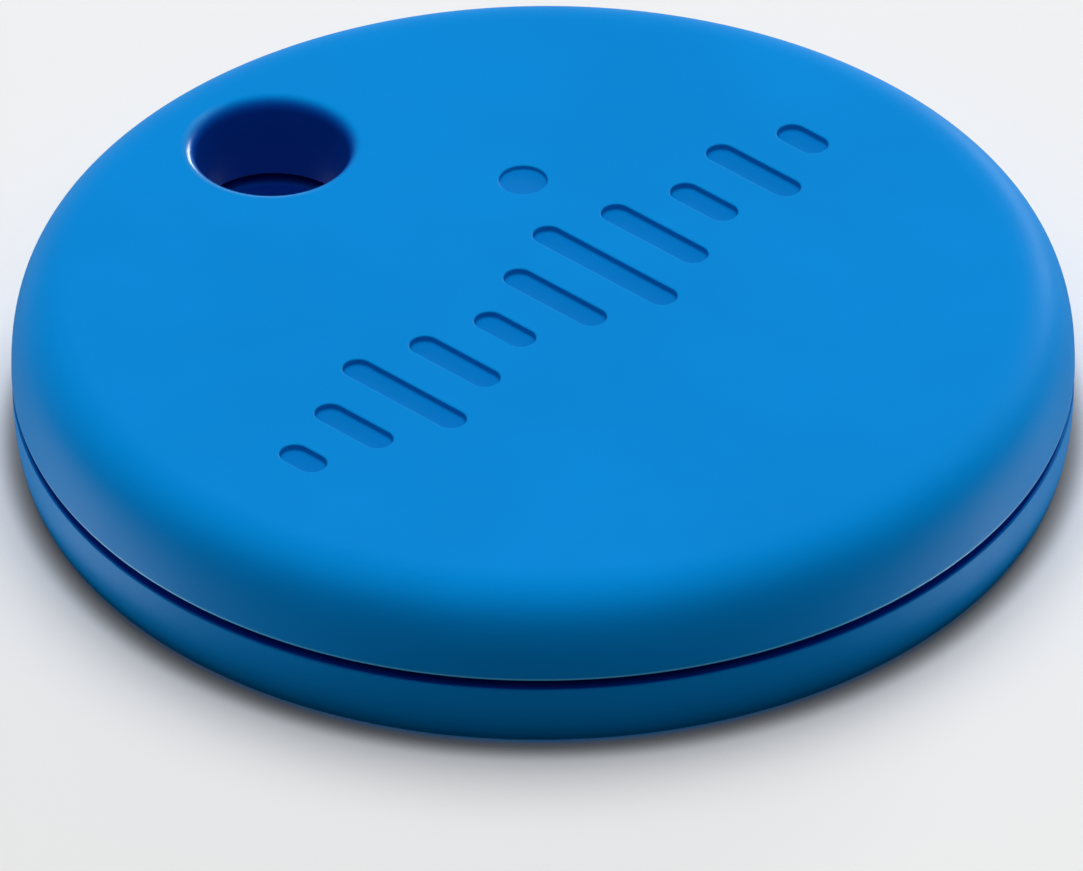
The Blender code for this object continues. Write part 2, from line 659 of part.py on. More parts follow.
def build():
    clear_scene()
    blue = material("case_blue", (0.0, 0.235, 0.69), 0.45)
    navy = material("seal_navy", (0.004, 0.012, 0.07), 0.7)
    black = material("moulded_black", (0.02, 0.02, 0.022), 0.5)
    green = material("solder_mask", (0.01, 0.09, 0.05), 0.4)
    ceramic = material("pale_ceramic", (0.72, 0.68, 0.6), 0.5)
    ferrite = material("ferrite_grey", (0.08, 0.08, 0.085), 0.6)
    steel = material("cell_steel", (0.66, 0.67, 0.68), 0.25, 1.0)
    gold = material("gold_plate", (0.83, 0.6, 0.25), 0.3, 1.0)
    brass = material("piezo_brass", (0.72, 0.5, 0.2), 0.3, 1.0)
    white = material("gasket_white", (0.8, 0.8, 0.78), 0.6)

    back_cover(blue)
    inner_frame(black)
    circuit_board(green)
    hole_seal(navy)
    board_components(black, ceramic, steel, ferrite)
    positive_contact(gold)
    negative_contact_base(gold)
    coil_spring("ceramic_spring", Vector((-8.6 * MM, 4.0 * MM, 0)), CERAMIC_BOTTOM - SPRING_GAP, gold)
    coil_spring("disc_spring", Vector((-10.2 * MM, 5.7 * MM, 0)), PIEZO_BOTTOM - SPRING_GAP, gold)

    finger = negative_contact_finger(gold)
    on_pivot("negative_finger_axis", NEGATIVE_PIVOT, [finger])
    cell = [cell_can(steel), cell_gasket(white), cell_cap(steel)]
    on_pivot("cell_axis", CELL_CENTRE + Vector((0, 0, CELL_BOTTOM)), cell)
    plunger = switch_parts(black, steel, white)
    on_pivot("plunger_axis", SWITCH_CENTRE + Vector((0, 0, PLUNGER_TOP)), [plunger])
    clip = [clip_ring(navy), cover_seal(navy)]
    front_half = on_pivot("front_half_axis", Vector((0, 0, CLIP_BOTTOM)), clip)
    cover = [front_cover(blue)] + piezo_parts(brass, ceramic, white)
    on_pivot("front_cover_axis", Vector((0, 0, CASE_HEIGHT)), cover, front_half)


build()
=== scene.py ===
"""Looks of the round bluetooth tracker tag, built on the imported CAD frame.

Metres, +Z up, in the same frame as the CAD: the keyring hole is on +Y and the mark runs along +X.
"""

import json
import math

import bmesh
import bpy
from mathutils import Matrix, Vector, geometry, kdtree


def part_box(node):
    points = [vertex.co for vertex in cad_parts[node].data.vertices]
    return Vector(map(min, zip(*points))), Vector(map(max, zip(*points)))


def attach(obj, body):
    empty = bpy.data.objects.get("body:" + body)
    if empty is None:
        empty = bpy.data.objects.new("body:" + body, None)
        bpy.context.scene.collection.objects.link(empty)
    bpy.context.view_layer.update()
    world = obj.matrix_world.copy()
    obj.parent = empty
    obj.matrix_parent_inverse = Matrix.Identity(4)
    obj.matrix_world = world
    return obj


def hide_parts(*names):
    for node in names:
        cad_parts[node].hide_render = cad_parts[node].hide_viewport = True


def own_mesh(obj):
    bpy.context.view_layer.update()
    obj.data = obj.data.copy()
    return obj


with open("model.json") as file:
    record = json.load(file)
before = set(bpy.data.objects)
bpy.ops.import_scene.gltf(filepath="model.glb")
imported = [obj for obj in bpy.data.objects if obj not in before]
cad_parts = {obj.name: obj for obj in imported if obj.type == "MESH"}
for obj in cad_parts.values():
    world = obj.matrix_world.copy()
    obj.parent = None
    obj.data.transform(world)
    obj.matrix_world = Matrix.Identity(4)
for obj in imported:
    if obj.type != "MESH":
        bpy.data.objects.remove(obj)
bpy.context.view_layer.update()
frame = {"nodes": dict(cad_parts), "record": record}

MM = 0.001
NODES = frame["nodes"]
NOTHING = (0.0, 0.0, 0.0)
WHITE = (1.0, 1.0, 1.0)
UP = Vector((0, 0, 1))
MIDDLE = Vector((0, 0))

# --- Sizes, read from the frame where it has them ---

FRONT_LOW, FRONT_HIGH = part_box("front_cover")
BACK_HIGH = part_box("back_cover")[1]
TOP = FRONT_HIGH.z
SEAM_TOP = FRONT_LOW.z
SEAM_LOW = BACK_HIGH.z
CASE_RADIUS = FRONT_HIGH.x
BACK_RADIUS = BACK_HIGH.x
WALL = 1.0 * MM
ROOF = TOP - WALL
FLOOR = WALL
SIDE_INNER_RADIUS = 17.9 * MM
INNER_FILLET = 0.6 * MM
FRONT_ROUND = 2.5 * MM
FRONT_POWER = 2.85
BACK_ROUND = 0.59 * MM
BACK_POWER = 2.24

HOLE_BOX = frame["record"]["physics"]["openings"][0]["box_m"]
HOLE = Vector(((HOLE_BOX[0][0] + HOLE_BOX[1][0]) / 2, (HOLE_BOX[0][1] + HOLE_BOX[1][1]) / 2))
HOLE_RADIUS = 2.77 * MM
HOLE_RIM = 0.5 * MM
TUBE_RADIUS = 3.65 * MM
RUB_SIDE = Vector((-0.98, 0.2))

BAR_WIDTH = 1.1 * MM
BAR_PITCH = 2.62 * MM
BAR_SHIFT = -0.6 * MM
BAR_HEIGHTS = [h * MM for h in (1.9, 3.4, 5.6, 4.0, 2.6, 4.6, 6.6, 4.8, 2.9, 4.2, 2.1)]
MARK_DEPTH = 0.22 * MM
DIMPLE = Vector((4.5 * MM, 5.1 * MM))
DIMPLE_RADIUS = 0.87 * MM
DIMPLE_DEPTH = 0.15 * MM

SWITCH = Vector((9.5 * MM, 6.0 * MM))
NIB_RADIUS = 1.1 * MM
NIB_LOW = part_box("switch_plunger")[1].z + 0.05 * MM
HOOK_ANGLES = [math.radians(a) for a in (20, 160, 218, 322)]
HOOK_ORBIT = 16.62 * MM
HOOK_SIZE = (0.5 * MM, 3.2 * MM)
HOOK_LOW = ROOF - 1.7 * MM

CELL = Vector((0, -4.5 * MM, 0))
CELL_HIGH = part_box("cell_can")[1].z
PIEZO = Vector((-4.5 * MM, 0, 0))
BOARD_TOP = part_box("circuit_board")[1].z
BOARD_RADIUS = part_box("circuit_board")[1].x
BOARD_CUTOUT = 11.2 * MM
HOLE_ROOM = 4.6 * MM
SWITCH_ANGLE = math.radians(-35)
SWITCH_SIZE = (4.2 * MM, 3.2 * MM)

# Board components: length, width and angle; their places and heights come from the frame.
COMPONENTS = {
    "bluetooth_chip": (4.4, 4.4, 37),
    "sounder_driver": (2.0, 2.0, 30),
    "main_crystal": (2.5, 2.0, 70),
    "clock_crystal": (3.2, 1.5, 88),
    "chip_antenna": (3.2, 1.6, 75),
    "boost_inductor": (3.0, 3.0, -33),
    "bulk_capacitor": (3.2, 1.6, 85),
    "decoupling_capacitor": (1.6, 0.8, 25),
    "antenna_capacitor": (1.6, 0.8, 60),
    "input_capacitor": (1.6, 0.8, -25),
    "gate_resistor": (1.6, 0.8, 50),
    "bleed_resistor": (1.6, 0.8, 75),
}

CASE_STEPS = 288
HOLE_STEPS = 96
GRID = 0.9 * MM


def middle(node):
    low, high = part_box(node)
    return (low + high) / 2


def component(node):
    """Centre, (length, width) and angle of a board component."""
    length, width, angle = COMPONENTS[node]
    return middle(node), (length * MM, width * MM), math.radians(angle)


# --- Mesh helpers ---


def circle(centre, radius, steps):
    """An outline: a function that gives the circle's points, grown by an offset."""

    def points(offset):
        made = []
        for i in range(steps):
            angle = 2 * math.pi * i / steps
            reach = radius + offset
            made.append((centre.x + reach * math.cos(angle), centre.y + reach * math.sin(angle)))
        return made

    return points


def turned(centre, angle, x, y):
    """A point at (x, y) in a frame at centre, turned by angle."""
    spun = Matrix.Rotation(angle, 2) @ Vector((x, y))
    return Vector((centre.x + spun.x, centre.y + spun.y))


def rounded(corners, radius, angle, steps):
    """An outline of equal arcs, one about each corner in turn, starting at an angle."""

    def points(offset):
        made = []
        reach = radius + offset
        for number, corner in enumerate(corners):
            for k in range(steps + 1):
                way = angle + 2 * math.pi * (number + k / steps) / len(corners)
                made.append((corner.x + reach * math.cos(way), corner.y + reach * math.sin(way)))
        return made

    return points


def rounded_bar(centre, length, width, steps):
    """An outline of a bar with round ends, standing along Y."""
    half = Vector((0, (length - width) / 2))
    return rounded((centre + half, centre - half), width / 2, 0.0, steps)


def rounded_block(centre, size, angle, corner, steps=4):
    """An outline of a rectangle with round corners, turned by an angle."""
    x = size[0] / 2 - corner
    y = size[1] / 2 - corner
    places = ((x, y), (-x, y), (-x, -y), (x, -y))
    return rounded([turned(centre, angle, *place) for place in places], corner, angle, steps)


def stack(bm, outline, levels, material_from=None):
    """Rings of the outline at each (offset, height), joined by faces. Returns the rings.

    Faces from ring number material_from on get the second material.
    """
    rings = []
    for offset, height in levels:
        rings.append([bm.verts.new((x, y, height)) for x, y in outline(offset)])
    for number, (lower, upper) in enumerate(zip(rings, rings[1:])):
        band = bridge(bm, lower, upper)
        if material_from is not None and number >= material_from:
            for face in band:
                face.material_index = 1
    return rings


def bridge(bm, first, second):
    """Faces between two closed rows of equally many vertices."""
    band = []
    for i in range(len(first)):
        j = (i + 1) % len(first)
        band.append(bm.faces.new((first[i], first[j], second[j], second[i])))
    return band


def tube(bm, rows):
    """A closed body through rows of vertices, with both ends capped."""
    for first, second in zip(rows, rows[1:]):
        bridge(bm, first, second)
    bm.faces.new(rows[0])
    bm.faces.new(list(reversed(rows[-1])))


def cap(bm, ring, second=False):
    face = bm.faces.new(ring)
    if second:
        face.material_index = 1


def inside(x, y, ring):
    """Whether a point lies within a ring of vertices, by counting crossings."""
    odd = False
    for a, b in zip(ring, ring[1:] + ring[:1]):
        if (a.co.y > y) != (b.co.y > y):
            cross = a.co.x + (y - a.co.y) * (b.co.x - a.co.x) / (b.co.y - a.co.y)
            if x < cross:
                odd = not odd
    return odd


def span(ring):
    xs = [v.co.x for v in ring]
    ys = [v.co.y for v in ring]
    return min(xs), max(xs), min(ys), max(ys)


def in_any(x, y, holes):
    for ring, (x0, x1, y0, y1) in holes:
        if x0 <= x <= x1 and y0 <= y <= y1 and inside(x, y, ring):
            return True
    return False


def fill_plane(bm, outer, rings, height):
    """Fills the flat region at a height between a round outer ring and the rings inside it."""
    holes = [(ring, span(ring)) for ring in rings]
    loops = [outer] + rings
    known = [v for ring in loops for v in ring]
    edges = []
    start = 0
    for ring in loops:
        count = len(ring)
        edges += [(start + i, start + (i + 1) % count) for i in range(count)]
        start += count
    near = kdtree.KDTree(len(known))
    for i, v in enumerate(known):
        near.insert(v.co, i)
    near.balance()
    reach = max(v.co.x for v in outer)
    count = int(reach / GRID) + 1
    for row in range(-count, count + 1):
        for column in range(-count, count + 1):
            x = (column + 0.5 * (row % 2)) * GRID
            y = row * GRID * math.sqrt(0.75)
            if math.hypot(x, y) > reach - 0.5 * GRID or in_any(x, y, holes):
                continue
            place = Vector((x, y, height))
            if near.find(place)[2] > 0.45 * GRID:
                known.append(bm.verts.new(place))
    flat = [Vector((v.co.x / MM, v.co.y / MM)) for v in known]
    places, _, faces, origins, _, _ = geometry.delaunay_2d_cdt(flat, edges, [], 0, 1e-6)
    for face in faces:
        middle = sum((places[i] for i in face), Vector((0, 0))) / len(face) * MM
        if not in_any(middle.x, middle.y, holes):
            bm.faces.new([known[origins[i][0]] for i in face])


def sweep(centre, radius, start, end, steps):
    """(offset, height) pairs along a circular arc, angles in degrees, both ends included."""
    made = []
    for i in range(steps + 1):
        angle = math.radians(start + (end - start) * i / steps)
        made.append((centre[0] + radius * math.cos(angle), centre[1] + radius * math.sin(angle)))
    return made


def power_curve(width, height, power, steps):
    """From crown (0, height) to widest point (width, 0) of a superellipse quarter."""
    made = []
    for i in range(steps + 1):
        angle = math.pi / 2 * (1 - i / steps)
        across = max(0.0, math.cos(angle)) ** (2 / power)
        along = math.sin(angle) ** (2 / power) if i < steps else 0.0
        made.append((width * across, height * along))
    made[0] = (0.0, height)
    return made


def to_object(name, bm, materials, smooth_angle=40):
    bmesh.ops.recalc_face_normals(bm, faces=bm.faces)
    mesh = bpy.data.meshes.new(name)
    bm.to_mesh(mesh)
    bm.free()
    mesh.shade_smooth()
    mesh.set_sharp_from_angle(angle=math.radians(smooth_angle))
    for material in materials:
        mesh.materials.append(material)
    return in_scene(name, mesh)


def in_scene(name, data):
    obj = bpy.data.objects.new(name, data)
    bpy.context.scene.collection.objects.link(obj)
    return obj


def stand_in(piece, node, body):
    """Puts a piece on a body in the place of a CAD node."""
    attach(piece, body)
    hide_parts(node)
    return piece


def shifted(levels, radius):
    """Turns (radius, height) pairs into offsets from an outline of that radius."""
    return [(reach - radius, height) for reach, height in levels]


# --- Material helpers ---


class Nodes:
    """The node tree of a material or world, with short ways to add and link nodes."""

    def __init__(self, owner):
        owner.use_nodes = True
        self.tree = owner.node_tree

    def add(self, kind, **settings):
        node = self.tree.nodes.new("ShaderNode" + kind)
        for name, value in settings.items():
            setattr(node, name, value)
        return node

    def put(self, socket, value):
        if isinstance(value, bpy.types.NodeSocket):
            self.tree.links.new(value, socket)
        elif isinstance(value, tuple) and len(value) == 3 and socket.type == "RGBA":
            socket.default_value = (*value, 1.0)
        else:
            socket.default_value = value

    def feed(self, node, **values):
        """Gives values to a node's inputs by name."""
        for name, value in values.items():
            self.put(node.inputs[name.replace("_", " ")], value)
        return node

    def made(self, kind, *values, **settings):
        """The first output of a new node whose first inputs take the values."""
        node = self.add(kind, **settings)
        for socket, value in zip(node.inputs, values):
            self.put(socket, value)
        return node.outputs[0]

    def math(self, operation, a, b=0.0, clamp=False):
        return self.made("Math", a, b, 0.0, operation=operation, use_clamp=clamp)

    def plus(self, a, b):
        return self.math("ADD", a, b)

    def minus(self, a, b):
        return self.math("SUBTRACT", a, b)

    def times(self, a, b):
        return self.math("MULTIPLY", a, b)

    def most(self, a, b):
        return self.math("MAXIMUM", a, b)

    def size(self, value):
        return self.math("ABSOLUTE", value)

    def reach(self, x, y):
        """Flat distance of (x, y) from the origin."""
        place = self.join(x, y, 0.0)
        node = self.add("VectorMath", operation="LENGTH")
        self.put(node.inputs[0], place)
        return node.outputs["Value"]

    def split(self, vector):
        return tuple(self.feed(self.add("SeparateXYZ"), Vector=vector).outputs)

    def join(self, x, y, z):
        return self.made("CombineXYZ", x, y, z)

    def remap(self, value, low, high, to_low=0.0, to_high=1.0, kind="LINEAR"):
        """Takes low to to_low and high to to_high, and stays there beyond them."""
        return self.made("MapRange", value, low, high, to_low, to_high, interpolation_type=kind)

    def ease(self, value, low, high, to_low=0.0, to_high=1.0):
        return self.remap(value, low, high, to_low, to_high, "SMOOTHSTEP")

    def vary(self, noise, low=0.0, high=1.0):
        """Spreads noise, most of which lies between 0.3 and 0.7, from low to high."""
        return self.remap(noise, 0.3, 0.7, low, high)

    def blend(self, share, a, b):
        """Number a where share is 0 and number b where it is 1."""
        return self.remap(share, 0.0, 1.0, a, b)

    def mix(self, share, a, b):
        """Colour a where share is 0 and colour b where it is 1."""
        node = self.add("Mix", data_type="RGBA")
        colours = [s for s in node.inputs if s.type == "RGBA"]
        for socket, value in zip((node.inputs[0], *colours), (share, a, b)):
            self.put(socket, value)
        return [s for s in node.outputs if s.type == "RGBA"][0]


class Surface(Nodes):
    """The nodes of a new material."""

    def __init__(self, name):
        self.material = bpy.data.materials.new(name)
        super().__init__(self.material)
        self.shader = self.tree.nodes["Principled BSDF"]
        self.place = self.add("TexCoord").outputs["Object"]

    def set(self, **values):
        self.feed(self.shader, **values)

    def local(self, centre, angle=0.0, scale=(1.0, 1.0, 1.0)):
        """Object coordinates seen from a centre, turned by an angle about Z, then scaled."""
        size = tuple(1 / s for s in scale)
        turn = (0.0, 0.0, angle)
        return self.made("Mapping", self.place, tuple(centre), turn, size, vector_type="TEXTURE")

    def noise(self, size, detail=2.0, roughness=0.5, at=None):
        """Noise whose features are about size metres across."""
        node = self.feed(self.add("TexNoise"), Vector=self.place if at is None else at)
        self.feed(node, Scale=1 / size, Detail=detail, Roughness=roughness)
        return node.outputs["Fac"]

    def cells(self, size):
        """Distance from the middle of round cells about size metres across."""
        node = self.feed(self.add("TexVoronoi"), Vector=self.place, Scale=1 / size)
        return node.outputs["Distance"]

    def bump(self, height, distance):
        """Adds the relief, which is the last step. Returns the finished material."""
        node = self.feed(self.add("Bump"), Height=height, Distance=distance, Strength=1.0)
        self.set(Normal=node.outputs[0])
        return self.material


def scaled(colour, share):
    return tuple(c * share for c in colour)


def case_edges(n, bore_painted_shade, tone, level, tint, rough):
    """The case's tone, specular level and tint, and roughness, with its edges worked in.

    The keyring bore and the mating faces get painted shade, darker than the case. The cover's thin lip
    at the seam is glossy and gets a painted highlight, a paler band; the bore's rim is glossy on the
    side where the keyring rubs.
    """
    half_gap = (SEAM_TOP - SEAM_LOW) / 2
    glossy_level = 0.8
    glossy_rough = 0.22
    glossy_tint = (0.7, 0.85, 1.0)
    lip_width = 0.09 * MM
    x, y, z = n.split(n.local((HOLE.x, HOLE.y, (SEAM_LOW + SEAM_TOP) / 2)))
    reach = n.reach(x, y)
    # Painted shade: darker on the keyring bore's wall and the inner part of its rim.
    bore = n.ease(reach, HOLE_RADIUS + 0.42 * MM, HOLE_RADIUS + 0.02 * MM)
    from_axis = n.reach(x, n.plus(y, HOLE.y))
    # Painted shade: the mating faces inside the seam's groove are darkened to a deep navy.
    mating = n.ease(from_axis, BACK_RADIUS - 0.02 * MM, BACK_RADIUS - 0.14 * MM)
    seam = n.ease(n.size(z), half_gap + 0.12 * MM, half_gap + 0.03 * MM)
    tone = n.mix(n.times(seam, mating), tone, SEAM_PAINTED_SHADE)
    # Painted highlight: a paler band along the cover's thin lip just above the seam, which is also
    # made glossy.
    lip = n.ease(n.size(n.minus(z, half_gap + 0.07 * MM)), lip_width, 0.02 * MM, 0.0, 0.9)
    lip = n.math("SUBTRACT", lip, mating, clamp=True)
    tone = n.mix(lip, tone, LIP_PAINTED_HIGHLIGHT)
    tone = n.mix(bore, tone, bore_painted_shade)
    rim = HOLE_RADIUS + HOLE_RIM
    worn = n.ease(reach, rim, rim - 0.06 * MM)
    worn = n.times(worn, n.remap(reach, HOLE_RADIUS + 0.08 * MM, HOLE_RADIUS + 0.2 * MM))
    side = n.plus(n.times(x, RUB_SIDE.x), n.times(y, RUB_SIDE.y))
    worn = n.times(worn, n.ease(side, -0.2 * HOLE_RADIUS, 0.6 * HOLE_RADIUS))
    polish = n.most(worn, lip)
    level = n.blend(polish, level, glossy_level)
    tint = n.mix(polish, tint, glossy_tint)
    return tone, level, tint, n.blend(polish, rough, glossy_rough)


def moulded_plastic(name, colour, roughness=0.45, grain=0.12 * MM, depth=0.0016 * MM, level=0.055,
                    tint=(0.2, 0.6, 1.0), bore_painted_shade=None):
    """Satin moulded polymer: a fine spark-eroded grain, faint flow marks and handling marks."""
    n = Surface(name)
    flow = n.noise(9 * MM, 3.0, 0.55)
    fine = n.noise(grain, 2.0, 0.6)
    tone = n.mix(n.vary(flow), scaled(colour, 0.955), scaled(colour, 1.03))
    speck = n.remap(n.noise(grain * 0.6, 1.0, 0.5), 0.55, 0.8, 0.0, 0.10)
    tone = n.mix(speck, tone, scaled(colour, 0.86))
    rub = n.remap(n.noise(3.2 * MM, 4.0, 0.6), 0.35, 0.75, -0.03, 0.04)
    rough = n.plus(n.plus(n.vary(fine, -0.03, 0.03), rub), roughness)
    # The case also gets painted shade in its keyring bore and seam, and a painted highlight on its
    # lip.
    if bore_painted_shade:
        tone, level, tint, rough = case_edges(n, bore_painted_shade, tone, level, tint, rough)
    n.set(Base_Color=tone, Roughness=rough, Metallic=0.0, Specular_IOR_Level=level)
    n.set(Specular_Tint=tint)
    return n.bump(n.plus(fine, n.times(n.cells(grain * 1.7), 0.35)), depth)


def scuffed_metal(name, colour, roughness, lines, grain=0.25 * MM):
    """Metal with fine lines across the given coordinate, soft blotches and a few scratches."""
    n = Surface(name)
    fine = n.noise(0.05 * MM, 3.0, 0.6, lines(n))
    blotch = n.noise(2.5 * MM, 3.0, 0.55)
    tone = n.mix(n.remap(blotch, 0.3, 0.75), scaled(colour, 0.93), colour)
    tone = n.mix(n.remap(fine, 0.35, 0.7, 0.0, 0.22), tone, scaled(colour, 0.72))
    rough = n.plus(n.vary(fine, -0.05, 0.07), roughness)
    rough = n.plus(rough, n.vary(blotch, -0.03, 0.05))
    n.set(Base_Color=tone, Metallic=1.0, Roughness=rough)
    n.bump(n.plus(fine, n.times(n.noise(grain, 2.0), 0.6)), 0.0012 * MM)
    return n


def straight_lines(angle, centre=NOTHING):
    """A coordinate for lines that run along a direction."""
    return lambda n: n.local(centre, angle, (0.02, 1.0, 1.0))


def ring_lines(centre):
    """A coordinate for lines that run in circles about a centre."""

    def lines(n):
        x, y, z = n.split(n.local(centre))
        around = n.math("ARCTAN2", y, x)
        reach = n.reach(x, y)
        return n.join(reach, z, n.times(around, 0.1 * MM))

    return lines


def box_mask(n, x, y, half_x, half_y, soft=0.02 * MM):
    """1 inside a rectangle about the origin of x and y, 0 outside."""
    across = n.remap(n.size(x), half_x + soft, half_x - soft)
    along = n.remap(n.size(y), half_y + soft, half_y - soft)
    return n.times(across, along)


def disc_mask(n, reach, radius, soft=0.03 * MM):
    return n.remap(reach, radius + soft, radius - soft)


def on_component(node, suffix):
    """The nodes of a component's material, its size, and the place seen from its own middle."""
    centre, size, angle = component(node)
    n = Surface(node + suffix)
    return n, size, n.split(n.local(centre, angle))


def facing_up(n):
    """1 on faces that look up or down, 0 on upright ones."""
    side = n.add("NewGeometry").outputs["True Normal"]
    return n.remap(n.size(n.split(side)[2]), 0.6, 0.8)


def chip_package(node):
    """Moulded epoxy package with a round dimple at its first corner and a faint border."""
    n, size, (x, y, _) = on_component(node, "_epoxy")
    grain = n.noise(0.06 * MM, 3.0, 0.65)
    tone = n.mix(n.vary(grain), (0.018, 0.018, 0.02), (0.034, 0.034, 0.037))
    corner = 0.32 * size[0]
    reach = n.reach(n.plus(x, corner), n.minus(y, corner))
    dot = disc_mask(n, reach, 0.07 * size[0])
    border = n.minus(1.0, box_mask(n, x, y, 0.46 * size[0], 0.46 * size[1]))
    tone = n.mix(n.times(dot, 0.8), tone, (0.075, 0.075, 0.08))
    rough = n.minus(n.vary(grain, 0.5, 0.66), n.times(dot, 0.22))
    n.set(Base_Color=tone, Roughness=rough, Specular_IOR_Level=0.45)
    height = n.plus(n.times(grain, 0.25), n.times(border, -0.5))
    return n.bump(n.minus(height, dot), 0.012 * MM)


def ended_block(node, body, top, cap_length):
    """A chip part with tinned end caps, and a body whose top face has its own colour."""
    n, size, (x, y, _) = on_component(node, "_fired")
    grain = n.noise(0.09 * MM, 3.0, 0.6)
    up = facing_up(n)
    edge = size[0] / 2 - cap_length
    inner = box_mask(n, x, y, edge, size[1] / 2 - 0.04 * MM)
    shade = n.mix(n.times(up, inner), body, top)
    shade = n.mix(n.remap(grain, 0.3, 0.75, 0.0, 0.25), shade, scaled(body, 0.7))
    wobble = n.plus(n.size(x), n.remap(grain, 0.2, 0.8, -0.02 * MM, 0.02 * MM))
    ends = n.remap(wobble, edge - 0.015 * MM, edge + 0.015 * MM)
    tin = n.mix(n.vary(grain), (0.62, 0.62, 0.6), (0.8, 0.8, 0.78))
    n.set(Base_Color=n.mix(ends, shade, tin), Metallic=ends)
    n.set(Roughness=n.blend(ends, n.vary(grain, 0.42, 0.55), 0.33))
    return n.bump(n.plus(n.times(grain, 0.3), ends), 0.012 * MM)


def crystal_can(node):
    """A seam-welded steel lid on a dark ceramic tray."""
    centre, size, angle = component(node)
    n = scuffed_metal(node + "_lid", (0.7, 0.71, 0.72), 0.26, straight_lines(angle))
    x, y, z = n.split(n.local(centre, angle))
    low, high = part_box(node)
    lid = n.remap(z, (high.z - low.z) * -0.12, (high.z - low.z) * -0.08)
    seam = n.minus(1.0, box_mask(n, x, y, size[0] * 0.42, size[1] * 0.4, 0.03 * MM))
    metal = n.shader.inputs["Base Color"].links[0].from_socket
    rim = n.mix(n.times(seam, 0.45), metal, (0.42, 0.42, 0.43))
    n.set(Base_Color=n.mix(lid, (0.09, 0.085, 0.08), rim), Metallic=lid)
    return n.bump(n.plus(n.times(seam, -1.0), n.noise(0.2 * MM)), 0.01 * MM)


def antenna_block(node):
    """Fired ceramic block with tinned ends and a printed silver meander along its top."""
    n, size, (x, y, _) = on_component(node, "_ceramic")
    grain = n.noise(0.12 * MM, 3.0, 0.6)
    tone = n.mix(n.remap(grain, 0.25, 0.8), (0.66, 0.61, 0.52), (0.78, 0.74, 0.66))
    pitch = 0.36 * MM
    wave = n.math("PINGPONG", n.plus(x, size[0]), pitch)
    rungs = n.remap(wave, pitch * 0.58, pitch * 0.68)
    inner = box_mask(n, x, y, size[0] * 0.36, size[1] * 0.34)
    side = n.remap(n.math("SINE", n.times(x, math.pi / pitch)), -0.1, 0.1, -1.0, 1.0)
    bars = box_mask(n, x, n.minus(y, n.times(side, size[1] * 0.3)), size[0] * 0.36, 0.09 * MM)
    print_mask = n.times(n.most(n.times(rungs, inner), bars), facing_up(n))
    ends = n.remap(n.size(x), size[0] / 2 - 0.38 * MM, size[0] / 2 - 0.34 * MM)
    metal = n.most(print_mask, ends)
    n.set(Base_Color=n.mix(metal, tone, (0.76, 0.76, 0.74)), Metallic=metal)
    n.set(Roughness=n.blend(metal, n.vary(grain, 0.3, 0.42), 0.36))
    return n.bump(n.plus(n.times(grain, 0.2), metal), 0.012 * MM)


def drum_inductor(node):
    """A ferrite shield with a round drum set in it, a glued gap between, and tinned side feet."""
    n, size, (x, y, z) = on_component(node, "_ferrite")
    grain = n.noise(0.05 * MM, 4.0, 0.7)
    tone = n.mix(n.remap(grain, 0.25, 0.75), (0.05, 0.05, 0.054), (0.12, 0.12, 0.125))
    reach = n.reach(x, y)
    radius = size[0] * 0.38
    ring = n.size(n.minus(reach, radius))
    gap = n.times(n.remap(ring, 0.09 * MM, 0.06 * MM), facing_up(n))
    tone = n.mix(gap, tone, (0.16, 0.12, 0.07))
    feet = box_mask(n, x, n.minus(n.size(y), size[1] / 2), size[0] * 0.26, 0.3 * MM)
    feet = n.times(feet, n.remap(z, -0.1 * MM, -0.14 * MM))
    n.set(Base_Color=n.mix(feet, tone, (0.75, 0.75, 0.72)), Metallic=feet)
    n.set(Roughness=n.blend(feet, n.vary(grain, 0.55, 0.75), 0.35))
    return n.bump(n.minus(n.times(grain, 0.3), gap), 0.02 * MM)


def elastomer(name, colour):
    """Matt rubber with a dusty bloom and fine pits."""
    n = Surface(name)
    pits = n.cells(0.09 * MM)
    bloom = n.noise(1.6 * MM, 4.0, 0.65)
    tone = n.mix(n.remap(bloom, 0.35, 0.75, 0.0, 0.35), colour, tuple(c * 1.6 + 0.006 for c in colour))
    n.set(Base_Color=tone, Roughness=n.vary(bloom, 0.66, 0.82), Specular_IOR_Level=0.3)
    return n.bump(n.plus(n.noise(0.06 * MM), n.times(pits, 0.5)), 0.003 * MM)


def clear_polymer(name, colour, roughness):
    """Natural polymer that lets a little light in under its surface."""
    n = Surface(name)
    cloud = n.noise(0.8 * MM, 3.0, 0.55)
    tone = n.mix(n.vary(cloud), scaled(colour, 0.93), colour)
    n.set(Base_Color=tone, Roughness=n.vary(cloud, roughness - 0.05, roughness + 0.06))
    n.set(Subsurface_Weight=0.25, Subsurface_Radius=(0.4 * MM, 0.4 * MM, 0.35 * MM))
    n.set(Subsurface_Scale=1.0)
    return n.bump(n.noise(0.07 * MM, 2.0), 0.002 * MM)


